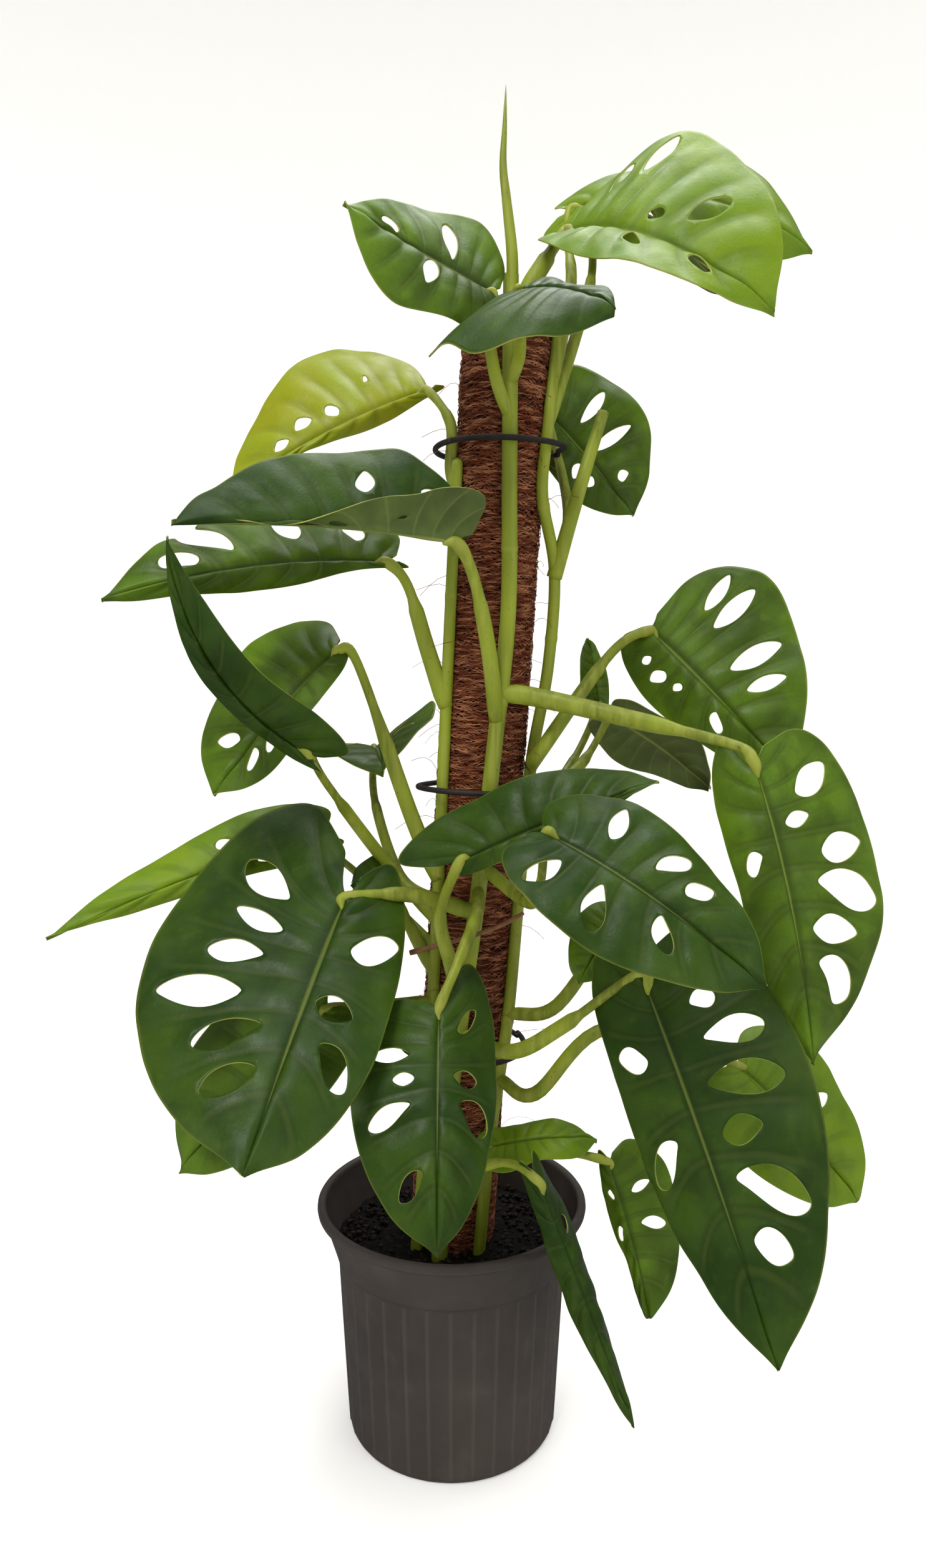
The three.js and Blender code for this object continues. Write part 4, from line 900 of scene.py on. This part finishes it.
class MONSTERA_OT_stalks(bpy.types.Operator):
    """Adds the stalk of each leaf, from its sheath on the stem to the knee under the blade"""
    bl_idname = "monstera.stalks"
    bl_label = "Leaf stalks"

    def execute(self, context):
        green = stem_material()
        for seed, leaf in enumerate(LEAVES):
            blade = Blade(leaf, seed)
            knee = blade.point(0.0, 0.0) - blade.face * 0.0012
            under_blade = blade.point(0.06, 0.0) - blade.face * 0.0018
            start = vine_point_at(VINES[leaf["vine"]], leaf["node"])
            knots = [start, *[from_node(leaf, p) for p in leaf["stalk"]], knee, under_blade]
            path = smooth_path(knots, 9)
            radii, flat = self.profile(path, sizes().stalk_radius * leaf.get("stout", 1.0))
            bm = tube(path, radii, STALK_SIDES, flat,
                      ring=lambda co: 0.8 * math.exp(-((co - knee).length / 0.012) ** 2))
            make_piece(bm, "stalk_" + leaf["name"], [green])
        return {"FINISHED"}

    def profile(self, path, thin):
        """The radius along a stalk, and how much wider than deep its sheathed part is."""
        shares, length = path_shares(path)
        sheath_end = 0.6 * length
        radii, flat = [], []
        for s in shares:
            from_stem, to_blade = s * length, (1 - s) * length
            past = (from_stem - sheath_end) / 0.006
            sheath = 1.0 if from_stem < sheath_end else max(0.0, 1 - past)
            radius = thin * (1 - 0.22 * s + 0.22 * sheath * (1 - 0.4 * s))
            radius *= 1 + 0.22 * math.exp(-((to_blade - 0.016) / 0.008) ** 2)
            radius *= min(1.0, 0.35 + to_blade / 0.012)
            radii.append(max(radius, 0.0006))
            flat.append(1 + 0.28 * min(1.0, from_stem / 0.012) * sheath)
        return radii, flat


class MONSTERA_OT_stems(bpy.types.Operator):
    """Adds the climbing stems with a ring at every old leaf, and the cut stalk"""
    bl_idname = "monstera.stems"
    bl_label = "Climbing stems"

    def execute(self, context):
        green = stem_material()
        for name, vine in VINES.items():
            path = smooth_path(vine_points(vine), 40)
            shares, length = path_shares(path)
            gap = RING_GAPS[name]
            rings = [k * gap + FIRST_RING for k in range(int(length / gap))]

            def to_ring(share):
                return min(abs(share * length - r) for r in rings)

            def ring_share(co):
                i = min(range(0, len(path), 2), key=lambda k: (path[k] - co).length_squared)
                return 0.5 * math.exp(-(to_ring(shares[i]) / 0.0025) ** 2)

            radii = []
            for s in shares:
                radius = vine["radius"] * MM * (1.1 - 0.16 * s)
                to_tip = (1 - s) * length
                if name != "front" and to_tip < radius:
                    radius *= max(0.12, math.sqrt(1 - (1 - to_tip / radius) ** 2))
                radii.append(radius * (1 + 0.09 * math.exp(-(to_ring(s) / 0.0026) ** 2)))
            bm = tube(path, radii, STEM_SIDES, ring=ring_share)
            make_piece(bm, "stem_" + name, [green], ["vine_" + name])
        knots = [vine_point_at(VINES["right"], CUT_STALK["node"])]
        knots += [from_node(CUT_STALK, p) for p in CUT_STALK["stalk"]]
        path = smooth_path(knots, 16)
        shares, _ = path_shares(path)
        bm = tube(path, [0.0058 - 0.0016 * s for s in shares], 14, [1.15] * len(path),
                  ring=lambda co: 1.0 if (co - path[-1]).length < 0.0048 else 0.0)
        make_piece(bm, "old_stalk", [green], ["cut_stalk"])
        return {"FINISHED"}


class MONSTERA_OT_new_leaf(bpy.types.Operator):
    """Adds the rolled new leaf at the tip of the front stem"""
    bl_idname = "monstera.new_leaf"
    bl_label = "Rolled new leaf"

    def execute(self, context):
        low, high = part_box("new_leaf_spike")
        middle = (low + high) / 2
        foot = Vector((middle.x + 0.003, middle.y - 0.004, low.z - 0.02))
        tip = Vector((middle.x - 0.002, middle.y + 0.006, high.z - 0.002))
        knots = [foot]
        for share, shift in ((0.2, 0.001), (0.45, -0.002), (0.62, -0.004), (0.8, -0.002)):
            knots.append(foot.lerp(tip, share) + Vector((shift, 0, 0)))
        knots.append(tip)
        path = smooth_path(knots, 14)
        shares, _ = path_shares(path)
        radii = [0.0048 * max(0.02, (1 - s ** 2.2) ** 0.8) * (1 - 0.25 * s) for s in shares]

        def wrap(co):
            """The pale edge of the rolled blade, winding up the spike."""
            share = (co.z - foot.z) / (tip.z - foot.z)
            turn = math.atan2(co.y - middle.y, co.x - middle.x)
            return 0.6 * math.exp(-(abs(math.sin(0.5 * turn + 4.5 * share)) / 0.07) ** 2)

        make_piece(tube(path, radii, STEM_SIDES, ring=wrap), "rolled_leaf", [stem_material()],
                   ["new_leaf_spike"])
        return {"FINISHED"}


class MONSTERA_OT_pole(bpy.types.Operator):
    """Adds the coir sleeve with its matted fibres and stray hairs, round the CAD core"""
    bl_idname = "monstera.pole"
    bl_label = "Coir pole"

    def execute(self, context):
        self.lean = math.atan(POLE_LEAN)
        self.axis = Vector((math.sin(self.lean), 0, math.cos(self.lean)))
        self.foot = Vector((0, 0, SOIL_LEVEL)) * MM
        _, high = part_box("coir_sleeve")
        self.top = (high.z - self.foot.z) / self.axis.z - 0.001
        coir = tone_of("coir")
        # The mat is coloured nearly black under the lighter fibres: painted shade in the depth of
        # the coir.
        self.add_mat(coir_material("coir_mat", tone_of("coir_dark"), shade(coir, 0.4)))
        dice = random.Random(7)
        light = coir_material("coir_fibre", shade(coir, 0.55),
                              blend_of(coir, (0.55, 0.27, 0.13), 0.5))
        for half in range(2):
            strands = [self.fibre(dice, half) for _ in range(sizes().fibre_count)]
            fibres = self.strand_piece("coir_fibres_" + "ab"[half], strands,
                                       sizes().fibre_radius, light)
            place_piece(fibres)
        hairs = [self.hair(dice) for _ in range(sizes().hair_count)]
        place_piece(self.strand_piece("coir_stray_hairs", hairs, HAIR_RADIUS, light))
        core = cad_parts["pole_core"].data.materials
        core.clear()
        core.append(plain_mix("core_plastic", (0.02, 0.018, 0.016), (0.035, 0.03, 0.028), 40,
                              0.55, (0.2, 500, 0.001)))
        return {"FINISHED"}

    def on_pole(self, angle, along, radius):
        """A point at an angle round the leaning pole, a height along it and a radius."""
        side = Vector((math.cos(self.lean), 0, -math.sin(self.lean))) * math.cos(angle)
        out = (side + Vector((0, 1, 0)) * math.sin(angle)) * radius
        return self.foot + self.axis * along + out

    def add_mat(self, material):
        """The lumpy mat under the loose fibres, as a tube open for the core."""
        bm = bmesh.new()
        sunk = -0.02
        outline = [(SLEEVE_INSIDE, sunk)]
        outline += [(SLEEVE_OUTSIDE, sunk + (self.top + 0.02) * k / SLEEVE_RINGS)
                    for k in range(SLEEVE_RINGS + 1)]
        outline += [(SLEEVE_INSIDE, self.top), (SLEEVE_INSIDE, sunk)]
        spin_outline(bm, outline, SLEEVE_STEPS)
        closed(bm)
        for v in bm.verts:
            angle, along = math.atan2(v.co.y, v.co.x), v.co.z
            radius = math.hypot(v.co.x, v.co.y)
            if radius > 0.03:
                across, up = math.cos(angle), math.sin(angle)
                lump = noise.noise(Vector((across * 2, up * 2, along * 26)))
                fine = noise.noise(Vector((across * 9, up * 9, along * 230)))
                radius += 0.0009 * lump + 0.0007 * fine
            v.co = self.on_pole(angle, along, radius)
        make_piece(bm, "coir_mat", [material], ["coir_sleeve"])

    def fibre(self, dice, half):
        """One fibre that lies on the mat and bulges a little off it."""
        angle = math.pi * half + dice.random() * math.pi
        along = dice.uniform(-0.012, self.top)
        slope = dice.gauss(0, 0.4)
        run = dice.uniform(0.02, 0.075)
        depth = dice.uniform(0.0345, 0.0368)
        bend = dice.gauss(0, 0.006)
        strand = []
        for k in range(6):
            s = k / 5 - 0.5
            away = depth + 0.0011 * (1 - 4 * s * s)
            height = along + run * slope * s + bend * (s * s - 0.25)
            strand.append(self.on_pole(angle + run * s / depth, min(height, self.top + 0.001),
                                       away))
        return strand

    def hair(self, dice):
        """One long fibre that stands off the pole."""
        angle = dice.uniform(0, math.tau)
        along = dice.uniform(0.02, self.top)
        reach = dice.uniform(0.012, 0.042)
        rise = dice.uniform(-0.6, 0.6) * reach
        swing = dice.uniform(-0.5, 0.5)
        return [self.on_pole(angle + swing * s * s, along + rise * s + 0.01 * math.sin(3 * s),
                             0.035 + reach * s ** 1.3) for s in (0, 0.2, 0.4, 0.6, 0.8, 1.0)]

    def strand_piece(self, name, strands, radius, material):
        """Fine fibres as one mesh, four-sided along each strand."""
        curve = bpy.data.curves.new(name, "CURVE")
        curve.dimensions = "3D"
        curve.bevel_depth = radius
        curve.bevel_resolution = 0
        for strand in strands:
            spline = curve.splines.new("POLY")
            spline.points.add(len(strand) - 1)
            spline.points.foreach_set("co", [x for p in strand for x in (*p, 1.0)])
        holder = bpy.data.objects.new(name + "_line", curve)
        bpy.context.scene.collection.objects.link(holder)
        view = bpy.context.evaluated_depsgraph_get()
        mesh = bpy.data.meshes.new_from_object(holder.evaluated_get(view))
        bpy.data.objects.remove(holder)
        bpy.data.curves.remove(curve)
        mesh.name = name
        mesh.materials.clear()
        mesh.materials.append(material)
        return bpy.data.objects.new(name, mesh)


class MONSTERA_OT_pot(bpy.types.Operator):
    """Adds the ribbed nursery pot with its rolled rim"""
    bl_idname = "monstera.pot"
    bl_label = "Nursery pot"

    def execute(self, context):
        bm = bmesh.new()
        seam_layer = bm.verts.layers.float.new("seam")
        facets = sizes().pot_facets
        spin_outline(bm, [(r * MM, z * MM) for r, z in POT_OUTLINE], facets * FACET_STEPS)
        closed(bm)
        step = math.tau / facets
        for v in bm.verts:
            radius = math.hypot(v.co.x, v.co.y)
            if radius < 0.088 or v.co.z > 0.2015:
                continue
            angle = math.atan2(v.co.y, v.co.x) % step - step / 2
            body = 0.004 < v.co.z < 0.159
            seam = abs(abs(angle) - step / 2) < step / FACET_STEPS * 0.3 and body
            flat = math.cos(step / 2) / math.cos(angle)
            if not body:
                flat = 1 - 0.35 * (1 - flat)
            grown = radius * flat + (sizes().seam_height if seam else 0.0)
            v.co.x *= grown / radius
            v.co.y *= grown / radius
            v[seam_layer] = 1.0 if seam else 0.0
        make_piece(bm, "ribbed_pot", [pot_material()], ["nursery_pot"])
        return {"FINISHED"}


class MONSTERA_OT_soil(bpy.types.Operator):
    """Adds the soil with the coarse clods that lie on it"""
    bl_idname = "monstera.soil"
    bl_label = "Soil"

    def execute(self, context):
        tone = tone_of("soil")
        # The soil's near-black colour is partly painted shade inside the pot.
        dark = plain_mix("soil", shade(tone, 0.5), shade(tone, 1.5), 160, 0.95, (0.8, 420, 0.002))
        dome = [(103 - 103 * k / 44, 172.5 + 3 * math.sin(math.pi / 2 * k / 44))
                for k in range(45)]
        bm = bmesh.new()
        spin_outline(bm, [(r * MM, z * MM) for r, z in SOIL_SIDE + dome], SOIL_STEPS)
        closed(bm)
        for v in bm.verts:
            if v.co.z > 0.17:
                v.co.z += 0.0035 * noise.fractal(v.co * 55, 0.7, 2.0, 4)
        make_piece(bm, "soil_bed", [dark], ["potting_soil"])

        dice = random.Random(11)
        noise.seed_set(11)
        bm = bmesh.new()
        for _ in range(sizes().clod_count):
            reach, angle = 0.1 * math.sqrt(dice.random()), dice.uniform(0, math.tau)
            size = dice.uniform(0.0009, 0.0034)
            spot = Matrix.Translation((reach * math.cos(angle), reach * math.sin(angle),
                                       0.1745 + 0.3 * size))
            turn = Matrix.Rotation(dice.uniform(0, 3), 4, "XYZ"[dice.randrange(3)])
            squeeze = Matrix.Diagonal((size, size * dice.uniform(0.5, 1),
                                       size * dice.uniform(0.4, 0.8), 1))
            made = bmesh.ops.create_icosphere(bm, subdivisions=1, radius=1,
                                              matrix=spot @ turn @ squeeze)
            for v in made["verts"]:
                v.co += noise.noise_vector(v.co * 400) * size * 0.35
        clods = plain_mix("clods", shade(tone, 0.6), (0.035, 0.024, 0.016), 300, 0.95,
                          (0.6, 700, 0.001))
        make_piece(bm, "soil_clods", [clods])
        return {"FINISHED"}


class MONSTERA_OT_ties(bpy.types.Operator):
    """Adds the coated wire ties and the aerial root across the pole"""
    bl_idname = "monstera.ties"
    bl_label = "Ties and aerial root"

    def execute(self, context):
        tie, root = tone_of("tie"), tone_of("root")
        wire = plain_mix("tie_wire", shade(tie, 0.8), shade(tie, 1.3), 90, 0.6,
                         (0.3, 400, 0.001))
        for name, height in TIE_HEIGHTS.items():
            low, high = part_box(name)
            middle = (low + high) / 2
            radius = (high.x - low.x) / 2 - WIRE_RADIUS
            knots = []
            for k in range(25):
                angle = math.tau * k / 24 + 0.4
                wobble = 0.0009 * math.sin(3 * angle + height)
                knots.append(Vector((
                    middle.x + (radius + wobble) * math.cos(angle),
                    middle.y + (radius + wobble) * math.sin(angle),
                    middle.z + 0.0012 * math.sin(2 * angle) + 0.0028 * (k / 24 - 0.5))))
            path = smooth_path(knots, 4)
            bm = tube(path, [WIRE_RADIUS] * len(path), 12)
            make_piece(bm, "wire_" + name, [wire], [name])
        bark = plain_mix("root_bark", shade(root, 0.7), shade(root, 1.3), 120, 0.7,
                         (0.5, 260, 0.001))
        path = smooth_path([above_soil(round_pole(d, h, POLE_RADIUS + ROOT_STAND_OFF + off))
                            for d, h, off in AERIAL_ROOT], 12)
        shares, _ = path_shares(path)
        radii = [ROOT_RADIUS * (1 - 0.25 * s) * (1 + 0.08 * math.sin(31 * s)) for s in shares]
        make_piece(tube(path, radii, 12), "aerial_root_bark", [bark], ["aerial_root"])
        return {"FINISHED"}


class MONSTERA_OT_studio(bpy.types.Operator):
    """Adds the floor, the soft lights and the camera"""
    bl_idname = "monstera.studio"
    bl_label = "Studio"

    def execute(self, context):
        scene = context.scene
        self.add_floor(scene)
        world = bpy.data.worlds.new("studio_sky")
        world.use_nodes = True
        sky = world.node_tree.nodes["Background"].inputs
        sky["Color"].default_value = (1.0, 1.0, 1.0, 1.0)
        sky["Strength"].default_value = 0.2
        scene.world = world
        for name, place, aim, size, power in LAMPS:
            lamp = bpy.data.lights.new(name, "AREA")
            lamp.size = size
            lamp.energy = power
            light = bpy.data.objects.new(name, lamp)
            light.location = place
            towards = Vector(aim) - Vector(place)
            light.rotation_euler = towards.to_track_quat("-Z", "Y").to_euler()
            scene.collection.objects.link(light)

        lens = bpy.data.cameras.new("camera")
        lens.sensor_fit = "VERTICAL"
        lens.sensor_height = SENSOR_HEIGHT
        lens.lens = LENS
        lens.clip_start = 0.01
        camera = bpy.data.objects.new("camera", lens)
        camera.location = CAMERA_PLACE
        camera.rotation_euler = CAMERA_TURN
        scene.collection.objects.link(camera)
        scene.camera = camera
        scene.view_settings.view_transform = "Standard"
        return {"FINISHED"}

    def add_floor(self, scene):
        """A pale floor that curves up into a wall all round."""
        outline = [(0, 0), (FLOOR_RADIUS, 0)]
        for k in range(1, 17):
            turn = math.pi / 2 * k / 16
            outline.append((FLOOR_RADIUS + FLOOR_BEND * math.sin(turn),
                            FLOOR_BEND - FLOOR_BEND * math.cos(turn)))
        outline.append((FLOOR_RADIUS + FLOOR_BEND, WALL_HEIGHT))
        bm = bmesh.new()
        spin_outline(bm, outline, 96)
        bmesh.ops.remove_doubles(bm, verts=bm.verts[:], dist=1e-5)
        bmesh.ops.recalc_face_normals(bm, faces=bm.faces[:])
        bmesh.ops.reverse_faces(bm, faces=bm.faces[:])
        mesh = bpy.data.meshes.new("studio_floor")
        bm.to_mesh(mesh)
        bm.free()
        n = Nodes("studio_floor")
        n.surface(tone_of("floor"), 0.95, 0.0)
        n.feed(n.shader.inputs["Emission Color"], (1.0, 1.0, 1.0))
        n.feed(n.shader.inputs["Emission Strength"], 0.22)
        mesh.materials.append(n.material)
        mesh.polygons.foreach_set("use_smooth", [True] * len(mesh.polygons))
        floor = bpy.data.objects.new("studio_floor", mesh)
        floor.visible_glossy = False
        scene.collection.objects.link(floor)


class MONSTERA_PT_sidebar(bpy.types.Panel):
    """The plant's settings and pieces"""
    bl_label = "Potted monstera"
    bl_idname = "MONSTERA_PT_sidebar"
    bl_space_type = "VIEW_3D"
    bl_region_type = "UI"
    bl_category = "Monstera"

    def draw(self, context):
        layout = self.layout
        for group in (context.scene.plant_sizes, context.scene.plant_colours):
            box = layout.box()
            for key in group.__annotations__:
                box.prop(group, key)
        for operator in OPERATORS:
            layout.operator(operator.bl_idname)


OPERATORS = (
    MONSTERA_OT_pot, MONSTERA_OT_soil, MONSTERA_OT_pole, MONSTERA_OT_stems, MONSTERA_OT_stalks,
    MONSTERA_OT_leaves, MONSTERA_OT_new_leaf, MONSTERA_OT_ties, MONSTERA_OT_studio,
)
CLASSES = (PlantSizes, PlantColours, *OPERATORS, MONSTERA_PT_sidebar)


def register():
    for cls in CLASSES:
        bpy.utils.register_class(cls)
    bpy.types.Scene.plant_sizes = PointerProperty(type=PlantSizes)
    bpy.types.Scene.plant_colours = PointerProperty(type=PlantColours)


def unregister():
    del bpy.types.Scene.plant_colours
    del bpy.types.Scene.plant_sizes
    for cls in reversed(CLASSES):
        bpy.utils.unregister_class(cls)


def main():
    register()
    bpy.ops.monstera.pot()
    bpy.ops.monstera.soil()
    bpy.ops.monstera.pole()
    bpy.ops.monstera.stems()
    bpy.ops.monstera.stalks()
    bpy.ops.monstera.leaves()
    bpy.ops.monstera.new_leaf()
    bpy.ops.monstera.ties()
    bpy.ops.monstera.studio()


if __name__ == "__main__":
    main()
